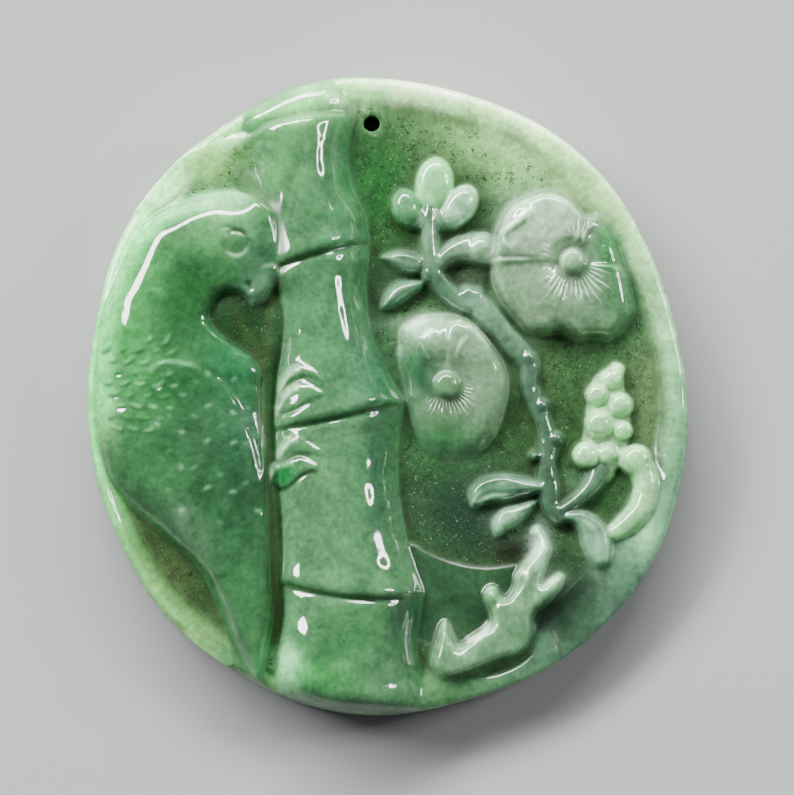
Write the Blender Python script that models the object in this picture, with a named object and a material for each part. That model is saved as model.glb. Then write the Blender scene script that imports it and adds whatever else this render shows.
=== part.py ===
"""Carved jadeite pendant: an oval plaque with a parrot on a bamboo stem, blossoms and berries in relief.

It lies on its flat back. X runs across it, Y runs up to the cord hole, and Z rises to the carving.
All sizes below are in millimetres and become metres where a mesh is made.
"""

import math

import bmesh
import bpy
import numpy as np
from mathutils import Matrix, Vector

MM = 0.001

# Heights above the flat back; RIM is also the parrot's back edge and the thick stalk's crest
GROUND = 4.2
RIM = 6.2
BAMBOO = 8.1
BODY = 7.8
BLOSSOM = 7.1
SPRIG = 5.7
BUD = 6.1
BERRY = 5.7
ROCK = 6.3

# The edge of the plaque: its distance from the middle every 15 degrees, anticlockwise from the right
EDGE_RADII = (28.1, 27.8, 28.2, 29.0, 29.5, 29.6, 30.2, 30.8, 30.2, 29.9, 29.5, 28.6,
              28.5, 28.7, 29.0, 29.6, 29.7, 30.1, 30.0, 29.5, 29.6, 29.5, 29.2, 28.6)
EDGE_STEPS = 3
# Width of the raised rim, and its rise above the ground, every 45 degrees, the same way round
RIM_WIDTHS = (2.3, 2.5, 2.2, 2.2, 1.6, 3.2, 3.0, 4.2)
RIM_RISES = (1.9, 1.4, 1.2, 1.4, 1.8, 1.7, 0.9, 0.6)
# Where the rim's outer wall ends, the share of the width where it is highest, and how wide its inner foot runs out
WALL_TOP = 4.5
CREST_SHARE = 0.3
RIM_FOOT = 0.9
BACK_EDGE = 1.2
HOLE = (-1.7, 26.0)
HOLE_DIAMETER = 1.6


def smooth(points, steps, closed=False):
    """Points along a curve that passes smoothly through the given ones, with so many steps between two."""
    knots = np.array(points, float)
    spans = len(knots) if closed else len(knots) - 1
    index = np.arange(-1, len(knots) + 2)
    index = index % len(knots) if closed else np.clip(index, 0, len(knots) - 1)
    knots = knots[index]
    before, here, after, beyond = (knots[k:k + spans, None] for k in range(4))
    t = (np.arange(steps) / steps)[None, :, None]
    curve = 0.5 * (2 * here + (after - before) * t
                   + (2 * before - 5 * here + 4 * after - beyond) * t ** 2
                   + (3 * here - before - 3 * after + beyond) * t ** 3)
    curve = curve.reshape(-1, knots.shape[1])
    return curve if closed else np.vstack([curve, knots[-2]])


def place_mesh(name, mesh, collection):
    """Object for a finished mesh, in the collection that uses it."""
    obj = bpy.data.objects.new(name, mesh)
    collection.objects.link(obj)
    return obj


def loft(name, rings, collection):
    """Closed solid whose skin joins rings of equally many points and is closed flat at both ends."""
    rings = np.array(rings)
    count = rings.shape[1]
    mesh = bpy.data.meshes.new(name)
    bm = bmesh.new()
    rows = [[bm.verts.new(point) for point in ring] for ring in rings * MM]
    for lower, upper in zip(rows, rows[1:]):
        for k in range(count):
            following = (k + 1) % count
            bm.faces.new((lower[k], lower[following], upper[following], upper[k]))
    bm.faces.new(reversed(rows[0]))
    bm.faces.new(rows[-1])
    bmesh.ops.triangulate(bm, faces=bm.faces[:])
    bmesh.ops.recalc_face_normals(bm, faces=bm.faces[:])
    bm.to_mesh(mesh)
    bm.free()
    return place_mesh(name, mesh, collection)


def ball(name, centre, radii, collection, turn=0, segments=14):
    """Egg shape with the given half sizes, turned about Z by so many degrees."""
    mesh = bpy.data.meshes.new(name)
    bm = bmesh.new()
    bmesh.ops.create_uvsphere(bm, u_segments=segments, v_segments=segments // 2 + 1, radius=1)
    shape = Matrix.Diagonal(Vector(radii) * MM).to_4x4()
    bm.transform(Matrix.Translation(Vector(centre) * MM) @ Matrix.Rotation(math.radians(turn), 4, "Z") @ shape)
    bm.to_mesh(mesh)
    bm.free()
    return place_mesh(name, mesh, collection)


def dome(name, centre, radii, top, collection, turn=0, segments=14):
    """Upper half of an egg shape that stands on the ground, as high as the given top."""
    return ball(name, (*centre, GROUND), (*radii, top - GROUND), collection, turn, segments)


def band(name, route, edge, far, collection, steps=2):
    """Half-round strip along a smooth route of (x, y, half width, crest), from its edge height to its crest.

    Its sides go straight on from the edges to the far height: below for a raised strip, above for a cutter.
    """
    line = smooth(route, steps)
    way = np.gradient(line[:, :2], axis=0)
    way /= np.linalg.norm(way, axis=1)[:, None]
    side = np.column_stack([-way[:, 1], way[:, 0]])
    # The ends are rounded: a narrow low section stands a half width out from either end
    tips = line[[0, -1]].copy()
    tips[:, :2] += way[[0, -1]] * tips[:, 2:3] * np.array([[-0.9], [0.9]])
    tips[:, 2] *= 0.35
    tips[:, 3] = edge + (tips[:, 3] - edge) * 0.4
    line = np.vstack([tips[:1], line, tips[1:]])
    side = np.vstack([side[:1], side, side[-1:]])
    shares = np.array((-1, -0.8, -0.4, 0.4, 0.8, 1))
    rise = np.sqrt(1 - shares ** 2)
    rings = []
    for (x, y, half, crest), across in zip(line, side):
        strip = np.array((x, y)) + across * (shares * half)[:, None]
        arch = np.column_stack([strip, edge + (crest - edge) * rise])
        rings.append(np.vstack([arch, (*strip[-1], far), (*strip[0], far)]))
    return loft(name, rings, collection)


def with_crest(route, crest):
    """Route of (x, y, half width) points that keeps one crest height."""
    return [(*point, crest) for point in route]


def plaque_edge(inset):
    """The plaque's outline, drawn in by the given width."""
    radii = smooth([(radius,) for radius in EDGE_RADII], EDGE_STEPS, closed=True)[:, 0]
    angles = np.linspace(0, 2 * math.pi, len(radii), endpoint=False)
    radii = radii - inset
    return np.stack([radii * np.cos(angles), radii * np.sin(angles)], 1)


def round_edge(values):
    """The given values, spaced evenly around the plaque, at each point of the plaque's edge."""
    steps = len(EDGE_RADII) * EDGE_STEPS // len(values)
    return smooth([(value,) for value in values], steps, closed=True)[:, 0]


def at_height(outline, z):
    """Outline of (x, y) points lifted to one height."""
    return np.column_stack([outline, np.broadcast_to(z, len(outline))])


def make_blank(collection):
    """Oval slab with a rounded rim and a sunk ground, from the back up to the ground."""
    width = round_edge(RIM_WIDTHS)
    crest = GROUND + round_edge(RIM_RISES)
    profile = [(BACK_EDGE, 0), (0.35 * BACK_EDGE, 0.25 * BACK_EDGE), (0, BACK_EDGE)]
    for share in (0, 0.1, 0.45, 1):
        rise = math.sqrt(1 - (1 - share) ** 2)
        profile.append((share * CREST_SHARE * width, WALL_TOP + (crest - WALL_TOP) * rise))
    for share in (0.35, 0.7, 1):
        fall = share * share * (3 - 2 * share)
        inset = CREST_SHARE * width + share * ((1 - CREST_SHARE) * width + RIM_FOOT)
        profile.append((inset, crest - (crest - GROUND) * fall))
    return loft("blank", [at_height(plaque_edge(inset), z) for inset, z in profile], collection)


# Where the ground is less deep: routes of (x, y, half width, level)
SHALLOWS = {"raised_corner": ((-21.2, 17.0, 1.6, 5.6), (-17.6, 19.6, 2.6, 5.6), (-13.8, 21.0, 3.0, 5.6),
                              (-11.0, 21.4, 3.0, 5.6)),
            "raised_crescent": ((-24.6, -9.2, 1.4, 5.7), (-21.6, -13.6, 2.4, 5.7), (-18.0, -18.6, 2.4, 5.7),
                                (-14.6, -22.4, 1.8, 5.7)),
            "stone_beside_the_head": ((-14.0, 20.6, 1.6, 5.8), (-12.2, 19.4, 1.4, 6.4), (-11.4, 18.2, 1.1, 6.9),
                                      (-10.5, 16.8, 1.0, 7.1), (-10.1, 13.5, 1.0, 7.2), (-10.3, 10.6, 1.0, 6.6)),
            "stone_beside_the_breast": ((-13.2, 7.0, 2.2, 4.7), (-12.4, 3.4, 1.6, 5.4), (-12.0, 0.0, 1.4, 6.5),
                                        (-11.6, -4.5, 1.3, 7.0), (-10.9, -9.0, 1.3, 6.7), (-10.3, -18.0, 1.3, 6.4),
                                        (-10.8, -25.5, 1.0, 5.6))}


def make_shallows(collection):
    """Low stone left standing in the corner, in the crescent by the tail and between parrot and bamboo."""
    sunk = 2.5
    for name, route in SHALLOWS.items():
        band(name, route, GROUND, sunk, collection, steps=1)


def arched_row(left, right, bow, foot, crest, sunk, shares, fullness):
    """One section of a half-round form: an arch from the left edge to the right edge, closed below."""
    shares = np.array(shares)
    left, right = np.array(left), np.array(right)
    path = left + (right - left) * shares[:, None]
    path[:, 1] += bow * 4 * shares * (1 - shares)
    rise = (1 - np.abs(2 * shares - 1) ** fullness) ** (1 / fullness)
    arch = np.column_stack([path, foot + (crest - foot) * rise])
    below = np.column_stack([path[::-1], np.full(len(path), sunk)])
    return np.vstack([arch, below])


# The bamboo's joints: left end, right end, and how far the line between them bows up
BAMBOO_JOINTS = (((-13.8, 24.0), (-3.2, 26.8), 0.6),
                 ((-10.5, 11.9), (-1.8, 14.7), 0.1),
                 ((-11.0, -3.4), (1.6, -0.6), -0.3),
                 ((-10.2, -17.5), (3.4, -18.7), -1.0))
# Waist points between two joints on the left and on the right edge
BAMBOO_WAISTS = ((((-13.5, 21.4), (-12.5, 18.4), (-11.0, 15.8)), ((-3.9, 23.3), (-3.5, 20.0), (-2.2, 17.2))),
                 (((-10.5, 8.6), (-10.7, 4.6), (-11.2, 0.8)), ((-2.1, 9.6), (-1.6, 5.8), (-0.2, 2.4))),
                 (((-10.9, -6.9), (-10.0, -10.6), (-10.0, -14.0)), ((1.0, -3.9), (0.9, -8.6), (1.7, -13.4))))
# Where the stem runs out over the plaque's edge: each row's left end, right end, bow and crest, edge row first
BAMBOO_HEAD = (((-15.5, 25.3), (-3.2, 29.9), 1.3, 5.2), ((-15.1, 25.0), (-3.2, 29.4), 1.3, 6.6),
               ((-14.5, 24.6), (-3.2, 28.4), 1.1, 7.1))
BAMBOO_FOOT = (((-11.2, -27.3), (3.9, -29.0), -1.4, 5.2), ((-11.1, -26.9), (3.8, -28.5), -1.4, 6.8),
               ((-10.9, -25.9), (3.5, -27.5), -1.3, 7.8))
FOOT_WAIST = (((-9.6, -20.4), (-10.0, -23.2)), ((2.8, -21.4), (2.7, -24.2)))
ACROSS = tuple(0.5 - 0.5 * math.cos(math.pi * k / 9) for k in range(10))
JOINT_GROOVE = 0.9
JOINT_LIP = 0.35
LIP_SHARE = 0.35
INTERNODE_ROWS = 2


def make_bamboo(collection):
    """Bamboo stem: arched sections with a low head and foot at the rim and a groove at every joint."""
    sunk = 1.4

    def row(left, right, bow, crest):
        return arched_row(left, right, bow, GROUND, crest, sunk, ACROSS, 2.4)

    rows = [row(*ends) for ends in BAMBOO_HEAD]
    waists = BAMBOO_WAISTS + (FOOT_WAIST,)
    for above, waist, below in zip(BAMBOO_JOINTS, waists, BAMBOO_JOINTS[1:] + (BAMBOO_FOOT[-1],)):
        left = smooth((above[0], *waist[0], below[0]), INTERNODE_ROWS)[1:-1]
        right = smooth((above[1], *waist[1], below[1]), INTERNODE_ROWS)[1:-1]
        share = np.linspace(0, 1, len(left))
        bows = above[2] + (below[2] - above[2]) * share
        crests = BAMBOO + JOINT_LIP * np.abs(2 * share - 1) ** 3
        lip = [end + LIP_SHARE * (line[0] - end) for end, line in zip(np.array(above[:2]), (left, right))]
        rows.append(row(*above, BAMBOO - JOINT_GROOVE))
        rows.append(row(*lip, above[2], BAMBOO + JOINT_LIP))
        rows += [row(*ends) for ends in zip(left, right, bows, crests)]
    rows += [row(*ends) for ends in BAMBOO_FOOT[-2::-1]]
    return loft("bamboo_stem", rows, collection)


# The parrot's back and front edges, from the crown down to the tip of the tail
PARROT_EDGES = (((-16.4, 19.6), (-14.8, 19.5)), ((-19.4, 18.9), (-12.4, 18.8)), ((-21.7, 17.9), (-10.9, 17.8)),
                ((-23.2, 16.6), (-10.2, 16.3)), ((-24.4, 14.6), (-9.9, 14.0)), ((-25.7, 11.6), (-10.3, 11.0)),
                ((-26.6, 9.4), (-12.5, 8.6)), ((-27.2, 7.2), (-16.2, 7.5)), ((-27.6, 4.2), (-14.4, 5.0)),
                ((-27.7, 1.0), (-12.0, 2.4)), ((-27.6, -3.0), (-11.6, -3.0)), ((-26.2, -8.4), (-11.2, -8.6)),
                ((-22.2, -12.5), (-10.4, -13.2)), ((-18.2, -16.1), (-10.8, -16.9)), ((-16.2, -19.8), (-10.3, -20.4)),
                ((-14.8, -23.6), (-10.8, -23.8)), ((-12.6, -26.8), (-11.5, -27.0)))
THROAT_NOTCH = (-14.5, 7.5, 2.0)
EYE = (-14.3, 14.7)
EYE_RADIUS = 1.1
MOUTH = ((-12.7, 12.2, 0.25), (-11.4, 12.5, 0.3), (-9.9, 12.4, 0.3))
WING_EDGE = ((-20.1, 2.5), (-18.2, 2.5), (-16.0, 1.0), (-14.4, -1.2), (-13.0, -5.0), (-11.9, -9.0))
CHEST_EDGE = ((-17.6, 6.6), (-16.4, 5.4), (-14.6, 4.4), (-12.8, 3.2))
SHOULDER = 2.4
BODY_SWELL = 0.3


def make_parrot(collection):
    """Parrot's head, body and tail: a low rounded form that meets the rim along the back."""
    sunk = 1.6
    back = smooth([pair[0] for pair in PARROT_EDGES], 2)
    front = smooth([pair[1] for pair in PARROT_EDGES], 2)
    along = np.linspace(0, 1, len(back))
    tops = np.interp(along, (0, 0.1, 0.25, 0.65, 0.9, 1),
                     (GROUND + 1.6, BODY - 0.5, BODY, BODY, BODY - 0.8, RIM - 0.6))
    back_feet = np.interp(along, (0, 0.07, 0.55, 0.65), (GROUND, RIM - 0.7, RIM - 0.7, GROUND))
    front_reach = 0.6 * SHOULDER
    rows = []
    for left, right, top, back_foot in zip(back, front, tops, back_feet):
        width = np.linalg.norm(right - left)
        squeeze = min(1, width / (SHOULDER + front_reach))
        reach, turn = SHOULDER * squeeze, front_reach * squeeze
        steps = np.concatenate([(0, 0.12 * reach, 0.45 * reach), np.linspace(reach, width - turn, 5),
                                (width - 0.35 * turn, width)])
        depth = np.minimum(steps / reach, (width - steps) / turn).clip(0, 1)
        rise = np.sqrt(1 - (1 - depth) ** 2)
        foot = np.where(steps < width / 2, back_foot, GROUND)
        swell = BODY_SWELL * np.sin(math.pi * steps / width)
        path = left + (right - left) * (steps / width)[:, None]
        arch = np.column_stack([path, foot + (top - foot) * rise + swell])
        rows.append(np.vstack([arch, (*right, sunk), (*left, sunk)]))
    loft("parrot_body", rows, collection)
    band("chest_edge", [(x, y, 0.35, BODY + 0.3) for x, y in CHEST_EDGE], GROUND, sunk, collection)


# A toe's route over the bamboo, on the upper foot, and the drop to each further toe
TOE = ((-11.7, 0.9, 0.5, 7.2), (-10.2, 2.1, 0.7, 8.0), (-8.2, 2.3, 0.7, 8.6), (-6.6, 1.3, 0.6, 8.6),
       (-5.9, -0.2, 0.3, 8.3))
TOE_DROPS = (0.0, 2.1, 6.9, 9.0)


def make_toes(collection):
    """Two toes of either foot, gripping the bamboo from the left."""
    for number, drop in enumerate(TOE_DROPS, 1):
        route = [(x, y - drop, half, crest) for x, y, half, crest in TOE]
        band(f"toe_{number}", route, GROUND + 2, 1.5, collection)


# Each blossom: centre, outline about it, and the directions of the folds between its petals
UPPER_BLOSSOM = ((17.2, 12.65), ((9.6, 13.6), (9.9, 15.6), (11.0, 18.0), (12.1, 18.8), (14.4, 19.6), (16.7, 19.0),
                                 (18.5, 17.4), (19.9, 17.3), (21.4, 15.3), (22.6, 12.4), (23.3, 8.4), (22.6, 6.6),
                                 (21.0, 5.2), (17.8, 5.1), (14.6, 5.6), (11.8, 7.2), (10.4, 9.0), (9.6, 11.0)),
                 (180, 77, -7, -105))
LOWER_BLOSSOM = ((5.4, 0.94), ((1.0, 6.0), (1.9, 7.1), (4.2, 7.9), (6.4, 8.0), (8.4, 7.9), (9.8, 6.6), (10.8, 4.4),
                               (11.4, 1.8), (11.2, -0.6), (10.4, -2.6), (9.0, -4.8), (7.0, -6.4), (5.2, -6.4),
                               (3.4, -4.6), (1.8, -2.0), (1.2, 0.6), (0.8, 3.6)), (100, 15, 205))
BLOSSOM_PROFILE = ((1.0, 1.9), (1.0, GROUND + 0.8), (0.96, BLOSSOM - 0.9), (0.84, BLOSSOM - 0.1),
                   (0.64, BLOSSOM), (0.44, BLOSSOM - 0.4), (0.27, BLOSSOM - 1.1), (0.14, BLOSSOM - 1.3))
FOLD_DEPTH = 0.5
FOLD_SPREAD = 9
PISTIL = (1.25, 1.25, 1.0)


def make_blossom(name, blossom, collection):
    """Open blossom: lobed outline, rounded petals falling to a cup, and a round pistil in it."""
    centre, outline, folds = blossom
    outline = smooth(outline, 2, closed=True) - centre
    angles = np.degrees(np.arctan2(outline[:, 1], outline[:, 0]))
    turns = (angles[:, None] - np.array(folds) + 180) % 360 - 180
    fold = np.exp(-(turns / FOLD_SPREAD) ** 2).sum(1)
    rings = []
    for share, z in BLOSSOM_PROFILE:
        sunk_fold = FOLD_DEPTH * fold if z > GROUND + 1 else 0 * fold
        rings.append(np.column_stack([centre + outline * share, z - sunk_fold]))
    loft(name, rings, collection)
    ball(name + "_pistil", (*centre, BLOSSOM - 1.4), PISTIL, collection, segments=12)


# Buds: centre, half length and half width, and the lean to the left in degrees
BUDS = (((1.4, 17.95), (1.2, 1.75), 12), ((4.25, 20.1), (1.8, 2.55), -7), ((6.6, 18.0), (1.3, 2.2), -35))
# Leaves: foot, tip, width, and the bow of the midrib to the left of that way
LEAVES = (((3.9, 12.2), (-1.0, 13.4), 2.5, -0.5), ((4.0, 11.2), (-0.7, 8.5), 2.6, -0.5),
          ((14.6, -8.7), (7.0, -10.2), 3.3, -0.7), ((14.1, -10.0), (9.7, -13.2), 2.5, -0.3),
          ((16.4, -10.9), (20.5, -16.5), 3.9, 0.8))
# Branches: routes of (x, y, radius)
BRANCHES = {"main_branch": ((7.4, 9.6, 1.0), (9.0, 8.0, 1.3), (10.8, 6.0, 1.1), (13.3, 3.0, 1.0), (13.2, 1.0, 0.8),
                            (14.6, -2.6, 0.8), (15.0, -4.4, 1.0), (15.0, -8.6, 1.0), (15.9, -11.6, 0.7)),
            "bud_stalk": ((3.8, 17.2, 0.55), (3.8, 15.0, 0.65), (3.9, 12.4, 0.9)),
            "calyx": ((3.9, 11.6, 1.0), (4.9, 12.7, 0.9), (6.2, 13.7, 1.2), (8.2, 14.0, 1.6), (10.4, 12.9, 1.1)),
            "branch_neck": ((4.1, 12.0, 0.9), (5.0, 10.4, 1.0), (6.6, 9.0, 1.0), (7.8, 8.8, 1.3)),
            "berry_stalk": ((16.0, -10.8, 0.6), (17.6, -9.9, 0.7), (19.0, -8.6, 0.9), (19.9, -7.0, 1.2))}
# The thick stalk that curls from the berries along the rim
CURL = ((23.0, -6.2, 1.2), (24.2, -6.9, 1.0), (24.6, -8.6, 1.0), (24.2, -10.2, 1.0), (23.0, -11.7, 1.0),
        (21.4, -12.6, 0.9))
# Berries: centre and radius
BERRY_PAD = ((21.4, 2.4, 0.8), (20.6, 0.6, 1.8), (20.6, -2.0, 2.1), (20.2, -5.6, 2.1), (20.0, -7.0, 1.3))
BERRIES = ((21.0, 1.6, 1.05), (19.5, 0.1, 1.05), (21.8, -0.9, 1.15), (19.7, -2.7, 1.35),
           (22.0, -3.3, 0.9), (18.5, -5.6, 1.25), (20.4, -5.5, 0.9), (23.2, -6.1, 1.5))


def make_leaf(name, foot, tip, width, bow, collection):
    """Pointed leaf along a bowed midrib, highest halfway between the midrib and either edge."""
    foot, tip = np.array(foot), np.array(tip)
    run = tip - foot
    side = np.array((-run[1], run[0])) / np.linalg.norm(run)
    rings = []
    for share in np.linspace(0.04, 0.97, 8):
        spine = foot + run * share + side * bow * math.sin(math.pi * share)
        half = width / 2 * math.sin(math.pi * share ** 0.8) ** 0.7
        across = np.array((-1, -0.85, -0.45, 0, 0.45, 0.85, 1))
        lift = np.array((0, 0.7, 1, 0.65, 1, 0.7, 0)) * (SPRIG - GROUND)
        top = np.column_stack([spine + side * (across * half)[:, None], GROUND + lift])
        below = np.array([(*(spine + side * half), 2.1), (*(spine - side * half), 2.1)])
        rings.append(np.vstack([top, below]))
    loft(name, rings, collection)


def make_sprigs(collection):
    """Buds, leaves, branches and berries on the ground."""
    sunk = 2.2
    for number, (centre, (across, along), lean) in enumerate(BUDS, 1):
        dome(f"bud_{number}", centre, (across, along), BUD, collection, lean)
    for number, leaf in enumerate(LEAVES, 1):
        make_leaf(f"leaf_{number}", *leaf, collection)
    for name, route in BRANCHES.items():
        band(name, with_crest(route, SPRIG), GROUND, sunk, collection)
    band("curl", with_crest(CURL, RIM), GROUND, sunk, collection)
    band("berry_pad", with_crest(BERRY_PAD, GROUND + 0.8), GROUND - 0.2, sunk + 0.2, collection)
    for number, (x, y, radius) in enumerate(BERRIES, 1):
        dome(f"berry_{number}", (x, y), (radius, radius), BERRY + 0.4 * radius, collection, segments=12)


# The coral-like rock: its fingers as routes of (x, y, radius)
ROCK_FINGERS = {"rock_trunk": ((5.2, -26.4, 1.2), (7.4, -24.9, 1.7), (10.6, -22.6, 2.2), (12.2, -20.4, 2.2),
                               (13.3, -18.0, 1.6), (14.1, -15.8, 1.0), (14.4, -14.2, 0.7), (14.0, -12.9, 0.4)),
                "rock_right_finger": ((13.6, -19.2, 1.4), (15.0, -18.0, 1.2), (16.2, -17.4, 0.8)),
                "rock_left_finger": ((5.8, -25.0, 1.6), (5.0, -23.4, 1.1), (5.0, -21.2, 0.4)),
                "rock_knob": ((11.4, -20.6, 1.4), (10.3, -19.8, 1.2), (9.8, -18.8, 0.8))}
MOUND = ((6.8, -21.6), (8.0, 6.6, 1.1))


def make_rock(collection):
    """Coral-like rock at the lower right, on a low swelling of the ground."""
    sunk = 2.3
    for name, route in ROCK_FINGERS.items():
        band(name, with_crest(route, ROCK), GROUND, sunk, collection)
    centre, radii = MOUND
    ball("mound", (*centre, GROUND - 0.2), radii, collection, turn=-12, segments=20)


def drill(name, centre, radius, low, high, collection):
    """Upright round cutter between two heights."""
    mesh = bpy.data.meshes.new(name)
    bm = bmesh.new()
    bmesh.ops.create_cone(bm, cap_ends=True, segments=20, radius1=radius * MM, radius2=radius * MM,
                          depth=(high - low) * MM)
    bm.transform(Matrix.Translation(Vector((*centre, (low + high) / 2)) * MM))
    bm.to_mesh(mesh)
    bm.free()
    return place_mesh(name, mesh, collection)


def make_cuts(collection):
    """What is cut in after the relief: cord hole, notch under the beak, eye, mouth and wing line."""
    drill("cord_hole", HOLE, HOLE_DIAMETER / 2, -2, BAMBOO + 2, collection)
    drill("throat_notch", THROAT_NOTCH[:2], THROAT_NOTCH[2], GROUND + 0.1, BAMBOO + 2, collection)
    over = BODY + 0.5
    angles = np.radians(np.arange(0, 331, 30))
    ring = [(EYE[0] + EYE_RADIUS * math.cos(a), EYE[1] + EYE_RADIUS * math.sin(a), 0.35, BODY - 0.4) for a in angles]
    band("eye_ring", ring, over, over + 1, collection, steps=1)
    band("mouth", [(x, y, half, BODY - 1.2) for x, y, half in MOUTH], over, over + 1, collection)
    band("wing_edge", [(x, y, 0.45, BODY - 0.2) for x, y in WING_EDGE], over, over + 1, collection)


def join(base, forms, operation):
    """Boolean modifier that adds a collection of forms to the base, or cuts them out of it."""
    modifier = base.modifiers.new(forms.name, "BOOLEAN")
    modifier.operand_type = "COLLECTION"
    modifier.collection = forms
    modifier.operation = operation
    modifier.solver = "EXACT"
    for form in forms.objects:
        form.hide_render = True
        form.display_type = "WIRE"


def jadeite():
    """Polished jadeite: pale apple green with a soft glassy gloss."""
    material = bpy.data.materials.new("polished_jadeite")
    material.use_nodes = True
    shader = material.node_tree.nodes["Principled BSDF"]
    shader.inputs["Base Color"].default_value = (0.22, 0.42, 0.22, 1)
    shader.inputs["Roughness"].default_value = 0.15
    shader.inputs["Metallic"].default_value = 0
    return material


for leftover in list(bpy.data.objects):
    bpy.data.objects.remove(leftover)

collections = {}
for title in ("jadeite_pendant", "raised_forms", "carved_cuts"):
    collections[title] = bpy.data.collections.new(title)
    bpy.context.scene.collection.children.link(collections[title])

plaque = make_blank(collections["jadeite_pendant"])
plaque.name = "jade_plaque"
plaque.data.materials.append(jadeite())
raised = collections["raised_forms"]
make_shallows(raised)
make_bamboo(raised)
make_parrot(raised)
make_toes(raised)
make_blossom("upper_blossom", UPPER_BLOSSOM, raised)
make_blossom("lower_blossom", LOWER_BLOSSOM, raised)
make_sprigs(raised)
make_rock(raised)
make_cuts(collections["carved_cuts"])
join(plaque, raised, "UNION")
join(plaque, collections["carved_cuts"], "DIFFERENCE")
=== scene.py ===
"""Looks of the carved jadeite pendant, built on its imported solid.

Sizes are in millimetres, and X runs across the pendant, Y up to the cord hole, Z out of the carving.
"""

import math

import bmesh
import bpy
import numpy as np
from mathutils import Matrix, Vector


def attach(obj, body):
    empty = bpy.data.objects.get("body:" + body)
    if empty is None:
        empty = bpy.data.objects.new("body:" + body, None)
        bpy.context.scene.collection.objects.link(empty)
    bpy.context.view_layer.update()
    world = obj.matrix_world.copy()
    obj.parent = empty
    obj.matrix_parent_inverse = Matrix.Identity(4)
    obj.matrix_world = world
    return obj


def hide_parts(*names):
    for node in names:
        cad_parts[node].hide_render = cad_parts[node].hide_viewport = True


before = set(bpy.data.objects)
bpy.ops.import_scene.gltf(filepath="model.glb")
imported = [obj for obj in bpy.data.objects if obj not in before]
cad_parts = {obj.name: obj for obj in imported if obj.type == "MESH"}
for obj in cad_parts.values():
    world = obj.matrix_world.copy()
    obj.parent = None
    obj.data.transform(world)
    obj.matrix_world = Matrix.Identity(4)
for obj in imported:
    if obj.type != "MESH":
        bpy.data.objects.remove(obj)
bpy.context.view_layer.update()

# The carved plaque
# One oval plaque of pale green jadeite, about 57 by 60 mm, carved on the front and polished all over.
# A parrot clings to a thick bamboo stem; two blossoms, buds, berries and a rock stand right of it.
# The sunk ground between them is matt and scratched, with old dirt and painted shade along the foot of
# every form.

# Height of the sunk ground above the back
GROUND = 4.2

# The carving is worked out as one height for each point of a fine square net over the plaque
NET = 0.07
NET_REACH = 31.5
axis = np.arange(-NET_REACH, NET_REACH + NET, NET)
X, Y = np.meshgrid(axis, axis)
height = np.full(X.shape, GROUND)
# Beside it, for each point: colour, how matt it is, dirt in the cuts, and the fine lines on the petals
tint = np.zeros((*X.shape, 3))
matt = np.ones(X.shape)
soil = np.zeros(X.shape)
ray_turn = np.zeros(X.shape)
ray_share = np.zeros(X.shape)

# The blank: rim and ground
# A raised, rounded rim runs round the edge; inside it the stone is cut down to the sunk ground.
# Distance of the edge from the middle every 15 degrees, anticlockwise from the right
EDGE_RADII = (28.1, 27.8, 28.2, 29, 29.5, 29.6, 30.2, 30.8, 30.2, 29.9, 29.5, 28.6,
              28.5, 28.7, 29, 29.6, 29.7, 30.1, 30, 29.5, 29.6, 29.5, 29.2, 28.6)
# The rim every 45 degrees, the same way round: its width, how high it stands above the ground, from what
# share of its width it falls to the ground, and its colour, paler at the top and darker at the lower right:
# partly the stone's own tone and partly painted light from above
RIM_WIDTHS = (2.3, 2.5, 2.2, 2.2, 1.6, 2.2, 3, 4.2)
RIM_RISES = (1.9, 1.4, 1.2, 1.4, 1.8, 1.7, 0.9, 0.6)
RIM_FALLS = (0.35, 0.3, 0.3, 0.3, 0.3, 0.3, 0.35, 0.3)
RIM_COLOURS_AND_LIGHT = ("#8fbc94", "#dcf5cc", "#ebffdc", "#d2fac8", "#92e09c", "#9cc88c", "#7aa876", "#759a80")
GROUND_COLOUR = "#588450"
# Height where the side wall meets the rim's outer slope, the share of the width that this slope takes, and
# how far the foot of the inner slope reaches past the rim
WALL_TOP = 4.5
CREST_SHARE = 0.3
RIM_FOOT = 0.9


def linear(colour):
    """Linear colour of a hex colour: ((c + 0.055) / 1.055)^2.4 of each channel, or c / 12.92 if dark."""
    c = np.array([int(colour[k:k + 2], 16) / 255 for k in (1, 3, 5)])
    return np.where(c > 0.04045, ((c + 0.055) / 1.055) ** 2.4, c / 12.92)


def smooth(points, steps=6, closed=False):
    """Points along a curve through the given knots: each span is a cubic whose slope at a knot is half the
    step between that knot's neighbours."""
    knots = np.array(points, float)
    spans = len(knots) if closed else len(knots) - 1
    index = np.arange(-1, len(knots) + 2)
    index = index % len(knots) if closed else np.clip(index, 0, len(knots) - 1)
    knots = knots[index]
    before, here, after, beyond = (knots[k:k + spans, None] for k in range(4))
    t = (np.arange(steps) / steps)[None, :, None]
    curve = 0.5 * (2 * here + (after - before) * t
                   + (2 * before - 5 * here + 4 * after - beyond) * t ** 2
                   + (3 * here - before - 3 * after + beyond) * t ** 3)
    curve = curve.reshape(-1, knots.shape[1])
    return curve if closed else np.vstack([curve, knots[-2]])


def swell(share, fullness=2.0):
    """Rounded rise from 0 at share 0 to 1 at share 1: (1 - (1 - share)^f)^(1/f)."""
    return (1 - (1 - np.clip(share, 0, 1)) ** fullness) ** (1 / fullness)


def ease(share):
    """Soft step from 0 to 1: 3s^2 - 2s^3 of the share s, kept between 0 and 1."""
    share = np.clip(share, 0, 1)
    return share * share * (3 - 2 * share)


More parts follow.
